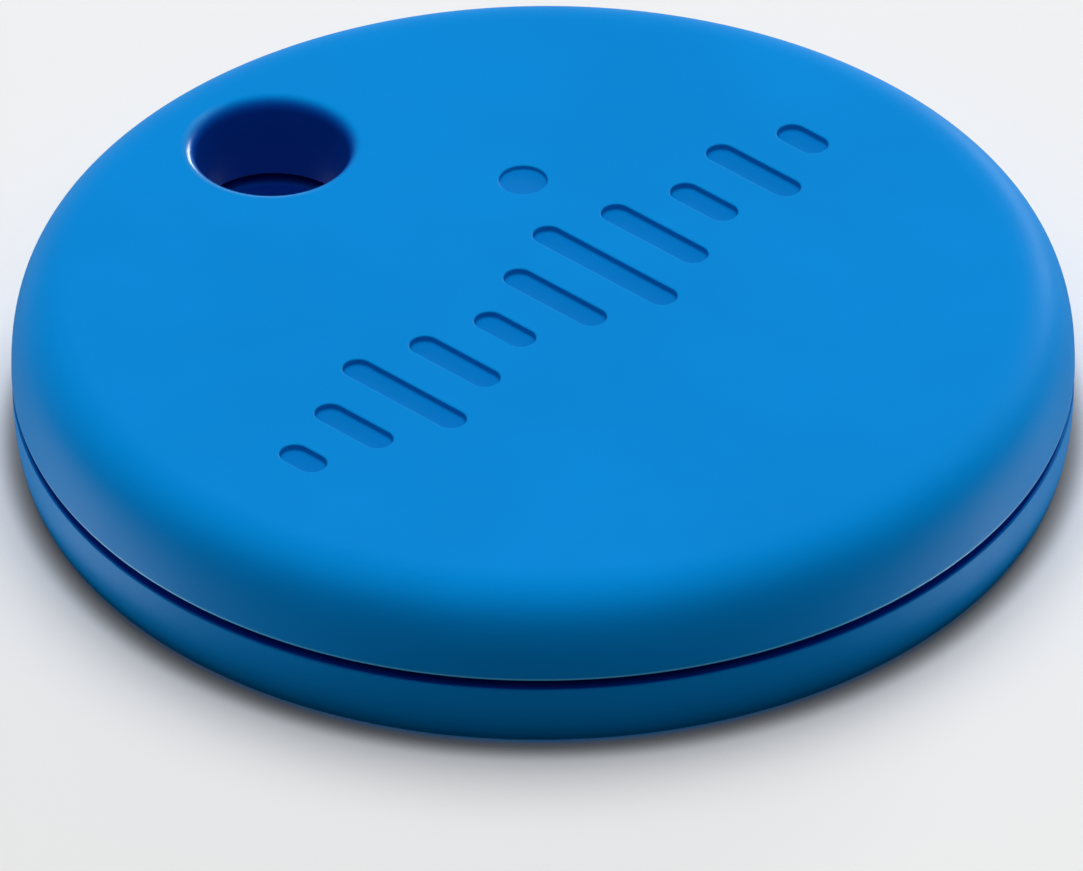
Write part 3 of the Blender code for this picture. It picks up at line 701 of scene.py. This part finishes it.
def solder_mask():
    """Green mask over a copper pour, bare along the edges, with vias; the cut edge is laminate."""
    n = Surface("solder_mask_green")
    x, y, z = n.split(n.place)
    grain = n.noise(0.15 * MM, 3.0, 0.6)
    flow = n.noise(2.4 * MM, 2.0, 0.5)
    pour = (0.012, 0.135, 0.062)
    bare = (0.006, 0.07, 0.034)
    from_axis = n.reach(x, y)
    from_cell = n.reach(x, n.minus(y, CELL.y))
    from_hole = n.reach(x, n.minus(y, HOLE.y))
    margin = 0.3 * MM
    edges = n.remap(from_axis, BOARD_RADIUS - margin, BOARD_RADIUS - margin + 0.04 * MM)
    edges = n.most(edges, disc_mask(n, from_cell, BOARD_CUTOUT + margin))
    edges = n.most(edges, disc_mask(n, from_hole, HOLE_ROOM + margin))
    weave = n.feed(n.add("TexChecker"), Vector=n.place, Scale=1 / (0.28 * MM))
    glass = n.mix(n.times(weave.outputs["Fac"], 0.3), bare, (0.012, 0.1, 0.05))
    tone = n.mix(edges, n.mix(n.vary(flow), scaled(pour, 0.9), pour), glass)
    dots = n.cells(1.5 * MM)
    via = n.times(n.remap(dots, 0.115, 0.1), n.minus(1.0, edges))
    bore = n.remap(dots, 0.06, 0.045)
    tone = n.mix(n.times(via, 0.55), tone, (0.1, 0.26, 0.1))
    tone = n.mix(n.times(via, bore), tone, (0.004, 0.02, 0.01))
    layers = n.math("PINGPONG", z, 0.1 * MM)
    laminate = n.mix(n.remap(layers, 0.02 * MM, 0.08 * MM), (0.33, 0.3, 0.14), (0.46, 0.42, 0.22))
    laminate = n.mix(n.remap(n.noise(0.1 * MM, 3.0), 0.4, 0.7, 0.0, 0.5), laminate, (0.24, 0.22, 0.11))
    up = facing_up(n)
    n.set(Base_Color=n.mix(up, laminate, tone), Specular_IOR_Level=0.5)
    n.set(Roughness=n.blend(up, 0.8, n.vary(grain, 0.26, 0.38)))
    height = n.plus(n.times(grain, 0.15), n.times(edges, -1.0))
    return n.bump(n.plus(height, n.times(via, 0.8)), 0.018 * MM)


def cell_steel():
    """Turned nickel-plated steel, with a stamped plus sign on the upper face."""
    n = scuffed_metal("cell_steel_turned", (0.7, 0.7, 0.69), 0.24, ring_lines(CELL))
    x, y, z = n.split(n.local(CELL))
    size = 2.1 * MM
    bar = 0.32 * MM
    plus = n.most(box_mask(n, x, y, size, bar), box_mask(n, x, y, bar, size))
    plus = n.times(plus, n.remap(z, CELL_HIGH - 0.1 * MM, CELL_HIGH - 0.05 * MM))
    metal = n.shader.inputs["Base Color"].links[0].from_socket
    n.set(Base_Color=n.mix(n.times(plus, 0.5), metal, (0.3, 0.3, 0.3)))
    return n.bump(n.minus(n.times(n.noise(0.12 * MM), 0.15), plus), 0.03 * MM)


def silvered_ceramic():
    """Piezo ceramic with a fired silver face that stops short of its rim."""
    n = Surface("piezo_silvered")
    x, y, _ = n.split(n.local(PIEZO))
    reach = n.reach(x, y)
    grain = n.noise(0.07 * MM, 3.0, 0.65)
    ceramic = n.mix(n.vary(grain), (0.6, 0.55, 0.42), (0.74, 0.69, 0.56))
    silver = n.mix(n.vary(n.noise(0.9 * MM, 4.0)), (0.74, 0.73, 0.7), (0.86, 0.86, 0.83))
    face = n.times(disc_mask(n, reach, 5.85 * MM), facing_up(n))
    n.set(Base_Color=n.mix(face, ceramic, silver), Metallic=n.times(face, 0.9))
    n.set(Roughness=n.blend(face, 0.6, n.vary(grain, 0.38, 0.52)))
    return n.bump(n.plus(n.times(grain, 0.3), face), 0.012 * MM)


# --- Shells ---

# Painted shade in the seam's groove, and a painted highlight on the cover's lip at the seam.
SEAM_PAINTED_SHADE = (0.0, 0.05, 0.42)
LIP_PAINTED_HIGHLIGHT = (0.1, 0.6, 1.0)
# The case's blue, with painted shade in the keyring bore and the seam, and a painted highlight on the
# lip.
case_blue = moulded_plastic("case_blue", (0.0, 0.262, 0.735), bore_painted_shade=(0.0, 0.065, 0.42))
# Walls and floors of the marks and the dimple: a darker blue, which is painted shade, and a rougher,
# finer grain.
case_recess_painted_shade = moulded_plastic("case_recess_painted_shade", (0.0, 0.2, 0.61), 0.5, 0.09 * MM, 0.002 * MM, 0.1)


def recess_levels(height, depth):
    """From a flat ring round a recess, over an eased edge and down a wall, to its floor."""
    ease = 0.05 * MM
    draft = 0.02 * MM
    levels = [(ease + 0.06 * MM, height)]
    levels += sweep((ease, height - ease), ease, 90, 180, 4)
    floor = height - depth
    foot = 0.04 * MM
    levels += sweep((-draft - foot, floor + foot), foot, 0, -90, 3)
    levels.append((-draft - foot - 0.05 * MM, floor))
    return levels


def hole_levels(flat, rim_sign, end_height, plane_height):
    """The keyring bore from an outer face, down to its far end and back up round its tube."""
    rim_centre = (HOLE_RIM, flat - rim_sign * HOLE_RIM)
    levels = [(HOLE_RIM + 0.08 * MM, flat)]
    levels += sweep(rim_centre, HOLE_RIM, 90 * rim_sign, 180 * rim_sign, 10)
    ease = 0.1 * MM
    wall = TUBE_RADIUS - HOLE_RADIUS
    edge = end_height + rim_sign * ease
    levels += sweep((ease, edge), ease, 180 * rim_sign, 270 * rim_sign, 3)
    levels += sweep((wall - ease, edge), ease, -90 * rim_sign, 0, 3)
    foot = 0.2 * MM
    turn = plane_height - rim_sign * foot
    levels += sweep((wall + foot, turn), foot, 180 * rim_sign, 90 * rim_sign, 4)
    levels.append((wall + foot + 0.05 * MM, plane_height))
    return levels


def case_rings(bm, levels, radius, lip, way, flat, edge, plane):
    """A shell's side and its keyring bore, each from the flat outer face to the inner plane.

    The levels lead down to the lip at the seam's edge. way is 1 for the front shell, which opens
    downwards, and -1 for the back shell. Returns the rings of both.
    """
    levels += sweep((radius - lip, edge + way * lip), lip, 0, -90 * way, 4)
    levels += sweep((SIDE_INNER_RADIUS + lip, edge + way * lip), lip, -90 * way, -180 * way, 3)
    corner = SIDE_INNER_RADIUS - INNER_FILLET
    levels += sweep((corner, plane - way * INNER_FILLET), INNER_FILLET, 0, 90 * way, 6)
    levels.append((corner - 0.08 * MM, plane))
    side = stack(bm, circle(MIDDLE, radius, CASE_STEPS), shifted(levels, radius))
    bore = stack(bm, circle(HOLE, HOLE_RADIUS, HOLE_STEPS), hole_levels(flat, way, edge, plane))
    return side, bore


def front_shell():
    bm = bmesh.new()
    crown = CASE_RADIUS - FRONT_ROUND
    lip = 0.12 * MM
    levels = []
    for across, along in power_curve(FRONT_ROUND, TOP - SEAM_TOP, FRONT_POWER, 48):
        if along > lip and across > 0.2 * MM:
            levels.append((crown + across, SEAM_TOP + along))
    outer, bore = case_rings(bm, levels, CASE_RADIUS, lip, 1, TOP, SEAM_TOP, ROOF)

    top_rings = [bore[0]]
    first = -BAR_PITCH * (len(BAR_HEIGHTS) - 1) / 2
    for i, height in enumerate(BAR_HEIGHTS):
        middle = Vector((first + i * BAR_PITCH, BAR_SHIFT))
        outline = rounded_bar(middle, height, BAR_WIDTH, 18)
        rings = stack(bm, outline, recess_levels(TOP, MARK_DEPTH), 4)
        cap(bm, rings[-1], True)
        top_rings.append(rings[0])
    outline = circle(DIMPLE, DIMPLE_RADIUS, 56)
    rings = stack(bm, outline, recess_levels(TOP, DIMPLE_DEPTH), 4)
    cap(bm, rings[-1], True)
    top_rings.append(rings[0])
    fill_plane(bm, outer[0], top_rings, TOP)

    roof_rings = [bore[-1]]
    ease = 0.08 * MM
    features = [(circle(SWITCH, NIB_RADIUS, 48), NIB_LOW)]
    for angle in HOOK_ANGLES:
        place = Vector((HOOK_ORBIT * math.cos(angle), HOOK_ORBIT * math.sin(angle)))
        features.append((rounded_block(place, HOOK_SIZE, angle, 0.12 * MM), HOOK_LOW))
    for outline, low in features:
        rings = stack(bm, outline, [(0.12 * MM, ROOF)] + sweep((ease, ROOF - ease), ease, 90, 180, 3)
                      + sweep((-ease, low + ease), ease, 0, -90, 3) + [(-ease - 0.03 * MM, low)])
        cap(bm, rings[-1])
        roof_rings.append(rings[0])
    fill_plane(bm, outer[-1], roof_rings, ROOF)
    return to_object("front_shell", bm, [case_blue, case_recess_painted_shade])


def back_shell():
    bm = bmesh.new()
    lip = 0.09 * MM
    inner = BACK_RADIUS - BACK_ROUND
    levels = [(inner - 0.08 * MM, 0.0)]
    for across, along in power_curve(BACK_ROUND, SEAM_LOW, BACK_POWER, 32):
        if along < SEAM_LOW - lip and across > 0:
            levels.append((inner + across, SEAM_LOW - along))
    outer, bore = case_rings(bm, levels, BACK_RADIUS, lip, -1, 0.0, SEAM_LOW, FLOOR)
    fill_plane(bm, outer[0], [bore[0]], 0.0)
    fill_plane(bm, outer[-1], [bore[-1]], FLOOR)
    return to_object("back_shell", bm, [case_blue])


stand_in(front_shell(), "front_cover", "pressing_cover")
stand_in(back_shell(), "back_cover", "back_half")

# --- Inner parts ---

SHARP = math.radians(35)


def welded_smooth():
    """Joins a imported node's split vertices and shades it smooth, apart from its real edges."""
    group = bpy.data.node_groups.new("welded_smooth", "GeometryNodeTree")
    for way in ("INPUT", "OUTPUT"):
        group.interface.new_socket("Geometry", in_out=way, socket_type="NodeSocketGeometry")
    kinds = ("NodeGroupInput", "GeometryNodeMergeByDistance", "GeometryNodeInputMeshEdgeAngle",
             "FunctionNodeCompare", "GeometryNodeSetMeshNormal", "NodeGroupOutput")
    start, weld, angle, sharp, shade, end = [group.nodes.new(kind) for kind in kinds]
    weld.inputs["Distance"].default_value = 1e-6
    sharp.inputs[1].default_value = SHARP
    shade.inputs["Remove Custom"].default_value = True
    shade.inputs["Face Sharpness"].default_value = False
    into = {start: weld.inputs[0], angle: sharp.inputs[0], weld: shade.inputs[0],
            sharp: shade.inputs["Edge Sharpness"], shade: end.inputs[0]}
    for node, socket in into.items():
        group.links.new(node.outputs[0], socket)
    return group


smooth_group = welded_smooth()


def dress(material, *nodes):
    """Gives carried-over CAD nodes their finished material and smooth shading."""
    for node in nodes:
        obj = NODES[node]
        obj.material_slots[0].material = material
        obj.modifiers.new("Smooth", "NODES").node_group = smooth_group


def prism(bm, outline, low, high, ease=0.0):
    """A closed flat block with its upper edge eased off."""
    rings = stack(bm, outline, [(0.0, low), (0.0, high - ease), (-ease, high)])
    cap(bm, list(reversed(rings[0])))
    cap(bm, rings[-1])


def solder_foot(bm, place, angle, width, reach, height, low):
    """A solder fillet that climbs a terminal: a concave wedge, narrowing as it runs out."""
    steps = 5
    rows = []
    for i in range(steps + 1):
        out = reach * i / steps
        rise = height * (1 - i / steps) ** 2.2 + 0.015 * MM
        half = width / 2 * (1 - 0.22 * (i / steps) ** 2)
        row = []
        for y, z in ((-half, low), (-half * 0.82, low + rise), (half * 0.82, low + rise), (half, low)):
            spot_at = turned(place, angle, out - 0.02 * MM, y)
            row.append(bm.verts.new((spot_at.x, spot_at.y, z)))
        rows.append(row)
    tube(bm, rows)


def strip(bm, points, width, low, high):
    """A raised track along a path of flat points, as one closed body."""
    rows = []
    for i, point in enumerate(points):
        before = points[max(i - 1, 0)]
        after = points[min(i + 1, len(points) - 1)]
        along = (after - before).normalized()
        side = Vector((-along.y, along.x)) * width / 2
        row = []
        for share, z in ((1, low), (0.8, high), (-0.8, high), (-1, low)):
            edge = point + side * share
            row.append(bm.verts.new((edge.x, edge.y, z)))
        rows.append(row)
    tube(bm, rows)


def ring_body(bm, centre, inner, outer, low, high):
    """A small closed washer, such as the land of a via."""
    levels = [(outer, low), (outer, high), (inner, high), (inner, low)]
    rings = stack(bm, circle(centre, 0.0, 20), levels)
    bridge(bm, rings[-1], rings[0])


PAD_HIGH = BOARD_TOP + 0.035 * MM
PAD_EASE = 0.01 * MM
TRACK_HIGH = BOARD_TOP + 0.03 * MM
BOARD_SKIN = BOARD_TOP - 0.02 * MM
CHIPS = {"bluetooth_chip": 6, "sounder_driver": 3}
CAPACITORS = ("decoupling_capacitor", "antenna_capacitor", "input_capacitor")
RESISTORS = ("gate_resistor", "bleed_resistor")
TWO_ENDED = ("chip_antenna", "bulk_capacitor", *CAPACITORS, *RESISTORS, "clock_crystal")
SPRINGS = ("ceramic_spring", "disc_spring")


def chip_sides(count, size):
    """(place along x, place along y, angle) of each lead, seen from the chip's own centre."""
    pitch = size[0] * 0.78 / (count - 1)
    for side in range(4):
        turn = side * math.pi / 2
        for i in range(count):
            across = (i - (count - 1) / 2) * pitch
            x, y = turned(MIDDLE, turn, size[0] / 2, across)
            yield x, y, turn, i - (count - 1) / 2


def board_details():
    """Pads, solder, leads and tracks on the board, each kind as one piece."""
    pads, solder, leads, tracks = bmesh.new(), bmesh.new(), bmesh.new(), bmesh.new()
    vias = []

    def pad(place, size, heading, corner=0.1 * MM, steps=4):
        outline = rounded_block(place, size, heading, corner, steps)
        prism(pads, outline, BOARD_SKIN, PAD_HIGH, PAD_EASE)

    def fillet(place, heading, width, reach, height):
        solder_foot(solder, place, heading, width, reach, height, PAD_HIGH - PAD_EASE)

    def track(path, width):
        strip(tracks, path, width, BOARD_SKIN, TRACK_HIGH)
        vias.append(path[-1])

    for node, count in CHIPS.items():
        centre, size, angle = component(node)
        fan = 0.55 if count > 4 else 0.25
        for x, y, turn, rank in chip_sides(count, size):
            heading = angle + turn
            foot = turned(centre, angle, x, y)
            toe = turned(foot, heading, 0.1 * MM, 0)
            pad(toe, (0.5 * MM, 0.34 * MM), heading, 0.05 * MM)
            lead = turned(foot, heading, 0.02 * MM, 0)
            prism(leads, rounded_block(lead, (0.2 * MM, 0.24 * MM), heading, 0.03 * MM),
                  PAD_HIGH - PAD_EASE, PAD_HIGH + 0.16 * MM, 0.02 * MM)
            fillet(toe, heading, 0.28 * MM, 0.2 * MM, 0.12 * MM)
            bend = turned(foot, heading, 0.55 * MM, rank * 0.03 * MM)
            reach = 0.9 * MM + fan * abs(rank) * 0.35 * MM
            end = turned(foot, heading, reach, rank * 0.12 * MM)
            path = [turned(foot, heading, 0.3 * MM, 0), bend, end]
            if all(on_board(point) for point in path):
                track(path, 0.12 * MM)
    for node in TWO_ENDED:
        centre, size, angle = component(node)
        climb = min(0.5 * (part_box(node)[1].z - BOARD_TOP), 0.4 * MM)
        for heading in (angle, angle + math.pi):
            end = turned(centre, heading, size[0] / 2, 0)
            pad(turned(end, heading, 0.1 * MM, 0), (0.9 * MM, size[1] + 0.16 * MM), heading)
            fillet(end, heading, size[1] * 0.92, 0.42 * MM, climb)
            path = [turned(end, heading, 0.5 * MM, 0), turned(end, heading, 0.95 * MM, 0.15 * MM)]
            if all(on_board(point) for point in path):
                track(path, 0.2 * MM)
    for node in ("main_crystal", "boost_inductor"):
        centre, size, angle = component(node)
        for x, y in four_corners(size[0] / 2 - 0.15 * MM, size[1] / 2 - 0.1 * MM):
            pad(turned(centre, angle, x, y), (0.8 * MM, 0.7 * MM), angle)
    for number, node in enumerate(SPRINGS):
        place = middle(node).to_2d()
        pad(place, (1.9 * MM, 1.9 * MM), 0, 0.9 * MM, 10)
        track([place, turned(place, math.radians(60 + 70 * number), 1.5 * MM, 0)], 0.25 * MM)
    for x, y in four_corners(SWITCH_SIZE[0] / 2, 1.05 * MM):
        heading = SWITCH_ANGLE + (0 if x > 0 else math.pi)
        edge = turned(SWITCH, SWITCH_ANGLE, x, y)
        pad(turned(edge, heading, -0.05 * MM, 0), (1.1 * MM, 0.75 * MM), SWITCH_ANGLE)
        fillet(edge, heading, 0.6 * MM, 0.4 * MM, 0.3 * MM)
    pad(Vector((12.5 * MM, CELL.y)), (2.6 * MM, 3.5 * MM), 0, 0.15 * MM)
    for number in range(3):
        orbit = BOARD_CUTOUT + (0.55 + 0.32 * number) * MM
        ends = (52 + 3 * number, 122 - 4 * number)
        path = [Vector(point) for point in sweep((0, CELL.y), orbit, *ends, 40)]
        track(path, 0.16 * MM)
        vias.append(path[0])
    for place in vias:
        ring_body(pads, place, 0.11 * MM, 0.23 * MM, BOARD_SKIN, PAD_HIGH)
    gold_pad = scuffed_metal("pad_gold", (0.86, 0.66, 0.34), 0.3, straight_lines(0.3)).material
    tin = scuffed_metal("solder_tin", (0.66, 0.66, 0.65), 0.3, straight_lines(1.1)).material
    track_green = moulded_plastic("track_mask", (0.03, 0.29, 0.12), 0.3, 0.1 * MM, 0.001 * MM, 0.5,
                                  WHITE)
    pieces = (("board_pads", pads, gold_pad, "gold_plate"),
              ("board_solder", solder, tin, "cell_steel"),
              ("chip_leads", leads, tin, "cell_steel"),
              ("board_tracks", tracks, track_green, "solder_mask"))
    for name, bm, material, slot in pieces:
        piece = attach(to_object(name, bm, [material], 30), "back_half")


def four_corners(half_x, half_y):
    """The corners of a rectangle about the origin."""
    for sx in (-1, 1):
        for sy in (-1, 1):
            yield sx * half_x, sy * half_y


def on_board(point, margin=0.35 * MM):
    """Whether a flat point lies on the board, clear of its edges."""
    if point.length > BOARD_RADIUS - margin or abs(point.x) < 4.6 * MM and point.y < 0:
        return False
    from_cell = (point - Vector((CELL.x, CELL.y))).length
    return from_cell > BOARD_CUTOUT + margin and (point - HOLE).length > HOLE_ROOM + margin


def coil(node, material):
    """A fine coil with closed end turns, in place of a spring's plain CAD coil.
    """
    low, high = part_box(node)
    wire = 0.1 * MM
    centre = middle(node)
    radius = (high.x - low.x) / 2 - wire
    bottom = low.z + wire
    top = high.z - wire
    turns = 4.5
    per_turn = 36
    count = int(turns * per_turn)
    section = 12
    bm = bmesh.new()
    rings = []
    for i in range(count + 1):
        share = i / count
        pitch_share = min(max((share * turns - 0.7) / (turns - 1.4), 0.0), 1.0)
        rise = pitch_share * pitch_share * (3 - 2 * pitch_share) * 0.3 + pitch_share * 0.7
        angle = 2 * math.pi * turns * share
        out = Vector((math.cos(angle), math.sin(angle), 0))
        place = Vector((centre.x, centre.y, bottom + (top - bottom) * rise)) + out * radius
        ring = []
        for k in range(section):
            turn = 2 * math.pi * k / section
            ring.append(bm.verts.new(place + (out * math.cos(turn) + UP * math.sin(turn)) * wire))
        rings.append(ring)
    tube(bm, rings)
    made = to_object(node + "_coil", bm, [material], 60)
    piece = stand_in(made, node, "back_half")
    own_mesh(piece)


def snap_dome(material):
    """The switch's snap dome, built in its rest shape; the real one flattens as it is pressed."""
    low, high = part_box("switch_dome")
    edge = (high.x - low.x) / 2
    skin = 0.07 * MM
    steps = 12
    levels = []
    for i in range(steps + 1):
        across = edge * (1 - 0.98 * i / steps)
        levels.append((across, low.z + skin + (high.z - low.z - skin) * (1 - (across / edge) ** 2)))
    under = [(reach, height - skin) for reach, height in reversed(levels)]
    bm = bmesh.new()
    outline = circle(SWITCH, edge, 48)
    rings = stack(bm, outline, shifted(under + levels, edge))
    cap(bm, rings[0])
    cap(bm, rings[-1])
    made = to_object("snap_dome", bm, [material], 50)
    piece = stand_in(made, "switch_dome", "back_half")
    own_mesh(piece)


def dress_inner_parts():
    frame_black = moulded_plastic("frame_black", (0.022, 0.022, 0.024), 0.5, 0.1 * MM, 0.003 * MM,
                                  0.45, WHITE)
    clip_navy = moulded_plastic("clip_navy", (0.0, 0.006, 0.11), 0.5, 0.1 * MM, 0.003 * MM, 0.2)
    gold = scuffed_metal("gold_strip", (0.86, 0.64, 0.3), 0.28, straight_lines(math.pi / 2)).material
    gasket = clear_polymer("gasket_white", (0.82, 0.82, 0.8), 0.5)
    rubber = elastomer("seal_rubber", (0.003, 0.01, 0.06))
    steel = cell_steel()
    brass = scuffed_metal("sounder_brass", (0.74, 0.52, 0.22), 0.3, straight_lines(0.4, PIEZO))
    plate = scuffed_metal("switch_steel", (0.72, 0.72, 0.71), 0.3, straight_lines(SWITCH_ANGLE))
    dress(frame_black, "inner_frame", "switch_body")
    dress(clip_navy, "clip_ring")
    dress(rubber, "cover_seal", "hole_seal")
    dress(solder_mask(), "circuit_board")
    dress(steel, "cell_can", "cell_cap")
    dress(gasket, "cell_gasket", "switch_plunger")
    dress(plate.material, "switch_plate")
    dress(brass.material, "piezo_disc")
    dress(silvered_ceramic(), "piezo_ceramic")
    dress(clear_polymer("sounder_glue", (0.78, 0.76, 0.68), 0.3), "piezo_adhesive")
    dress(gold, "positive_contact", "negative_contact_base", "negative_contact_finger")
    for node in CHIPS:
        dress(chip_package(node), node)
    for node in ("main_crystal", "clock_crystal"):
        dress(crystal_can(node), node)
    dress(antenna_block("chip_antenna"), "chip_antenna")
    dress(drum_inductor("boost_inductor"), "boost_inductor")
    tan = (0.46, 0.36, 0.24)
    slate = (0.05, 0.05, 0.055)
    alumina = (0.74, 0.73, 0.7)
    for node in CAPACITORS:
        dress(ended_block(node, tan, tan, 0.28 * MM), node)
    for node in RESISTORS:
        dress(ended_block(node, alumina, (0.03, 0.03, 0.034), 0.3 * MM), node)
    dress(ended_block("bulk_capacitor", slate, slate, 0.45 * MM), "bulk_capacitor")
    for node, keep in zip(SPRINGS, (0.919, 0.925)):
        coil(node, gold)
    snap_dome(plate.material)
    board_details()


dress_inner_parts()

# --- Camera, light and floor ---

AZIMUTH = math.radians(-47.08)
ELEVATION = math.radians(36.17)
ROLL = math.radians(0.4)
DISTANCE = 0.9
LENS = 839.4
AIM = (-0.075 * MM, -2.54 * MM)
RIGHT = Vector((math.cos(AZIMUTH), math.sin(AZIMUTH), 0))
AWAY = Vector((-math.sin(AZIMUTH), math.cos(AZIMUTH), 0))


def add_camera():
    back_way = UP * math.sin(ELEVATION) - AWAY * math.cos(ELEVATION)
    image_up = UP * math.cos(ELEVATION) + AWAY * math.sin(ELEVATION)
    across = RIGHT * math.cos(ROLL) - image_up * math.sin(ROLL)
    upward = RIGHT * math.sin(ROLL) + image_up * math.cos(ROLL)
    target = Vector((0, 0, SEAM_TOP)) + RIGHT * AIM[0] + image_up * AIM[1]
    data = bpy.data.cameras.new("camera")
    data.sensor_fit = "HORIZONTAL"
    data.sensor_width = 36
    data.lens = LENS
    data.clip_start = 0.05
    data.clip_end = 20
    obj = in_scene("camera", data)
    turn = Matrix((across, upward, back_way)).transposed()
    obj.matrix_world = Matrix.Translation(target + back_way * DISTANCE) @ turn.to_4x4()
    bpy.context.scene.camera = obj


def add_area(name, place, aim, size, power, reflect=True):
    data = bpy.data.lights.new(name, "AREA")
    data.shape = "RECTANGLE"
    data.size, data.size_y = size
    data.energy = power
    obj = in_scene(name, data)
    obj.location = place
    obj.rotation_mode = "QUATERNION"
    obj.rotation_quaternion = (place - aim).to_track_quat("Z", "Y")
    obj.visible_glossy = reflect
    obj.visible_camera = False


def spot(right, away, height):
    return RIGHT * right + AWAY * away + UP * height


def add_lights():
    centre = Vector((0, 0, 3 * MM))
    add_area("overhead", spot(0.03, 0.24, 0.75), centre, (0.7, 0.7), 3.9, reflect=False)
    add_area("rear", spot(0.42, 0.85, 0.2), centre, (0.35, 0.2), 2.0)


SKY = 0.13
CEILING = 0.5
GROUND = 0.12
BACKDROP = 0.5
SIDE_GLOW = 8.0


def add_world():
    """White to the camera; to the object, a dim room whose floor glows to its left and right."""
    world = bpy.data.worlds.new("studio")
    bpy.context.scene.world = world
    n = Nodes(world)
    n.tree.nodes.clear()
    place = n.add("TexCoord").outputs["Generated"]

    def along(direction):
        node = n.add("VectorMath", operation="DOT_PRODUCT")
        n.put(node.inputs[0], place)
        n.put(node.inputs[1], direction)
        return node.outputs["Value"]

    rise = along(UP)
    away = along(AWAY)
    sideways = n.ease(n.size(along(RIGHT)), 0.25, 0.8)
    beside = n.times(n.ease(away, -0.2, 0.45), n.ease(away, 0.7, 0.0))
    low_band = n.times(n.ease(rise, 0.0, -0.3), n.ease(rise, -0.98, -0.7))
    parts = (
        (n.times(n.times(sideways, beside), low_band), SIDE_GLOW),
        (n.ease(rise, 0.05, -0.3), GROUND),
        (n.ease(rise, 0.55, 0.85), CEILING),
        (n.times(n.ease(away, 0.3, 0.9), n.ease(n.size(rise), 0.4, 0.2)), BACKDROP),
    )
    light = SKY
    for share, strength in parts:
        light = n.plus(light, n.times(share, strength))
    around = n.made("Background", WHITE, light)
    seen = n.made("Background", WHITE)
    ray = n.add("LightPath").outputs["Is Camera Ray"]
    n.put(n.add("OutputWorld").inputs[0], n.made("MixShader", ray, around, seen))


def add_floor():
    """A pale floor, clear from below, with a painted contact shadow in a thin ring where the case
    stands on it.
    """
    bm = bmesh.new()
    bmesh.ops.create_grid(bm, x_segments=8, y_segments=8, size=4.0)
    mesh = bpy.data.meshes.new("floor")
    bm.to_mesh(mesh)
    bm.free()
    floor = in_scene("floor", mesh)
    floor.location.z = -0.02 * MM
    n = Surface("floor_pale")
    tone = n.mix(n.noise(0.3), (0.93, 0.93, 0.93), (0.95, 0.95, 0.95))
    x, y, _ = n.split(n.place)
    # Painted contact shadow: the floor darkens in a thin ring round the case's foot.
    from_foot = n.size(n.minus(n.reach(x, y), BACK_RADIUS - 0.3 * MM))
    tone = n.mix(n.ease(from_foot, 0.1 * MM, 1.1 * MM, 0.4), NOTHING, tone)
    n.set(Base_Color=tone, Roughness=0.9, Specular_IOR_Level=0.1)
    below = n.add("NewGeometry").outputs["Backfacing"]
    clear = n.made("MixShader", below, n.shader.outputs[0], n.made("BsdfTransparent"))
    n.put(n.tree.nodes["Material Output"].inputs["Surface"], clear)
    mesh.materials.append(n.material)
    floor.visible_diffuse = False
    floor.visible_glossy = False
    floor.visible_shadow = False


def add_contact_shade():
    """An unseen dark crescent under the floor's front part, against the glow from below."""
    bm = bmesh.new()
    inner = BACK_RADIUS - 0.4 * MM
    shift = 0.9 * MM
    rings = []
    for centre, radius in ((MIDDLE, inner), (AWAY * -shift, inner + shift + 0.05 * MM)):
        outline = circle(centre, radius, 96)(0.0)
        rings.append([bm.verts.new((x, y, -0.04 * MM)) for x, y in outline])
    bridge(bm, *rings)
    n = Surface("floor_shade")
    n.set(Base_Color=n.mix(n.noise(2 * MM), (0.01, 0.01, 0.01), (0.02, 0.02, 0.02)), Roughness=1.0)
    shade = to_object("contact_shade", bm, [n.material])
    shade.visible_camera = False


add_camera()
add_lights()
add_contact_shade()
add_world()
add_floor()
bpy.context.scene.view_settings.view_transform = "Standard"
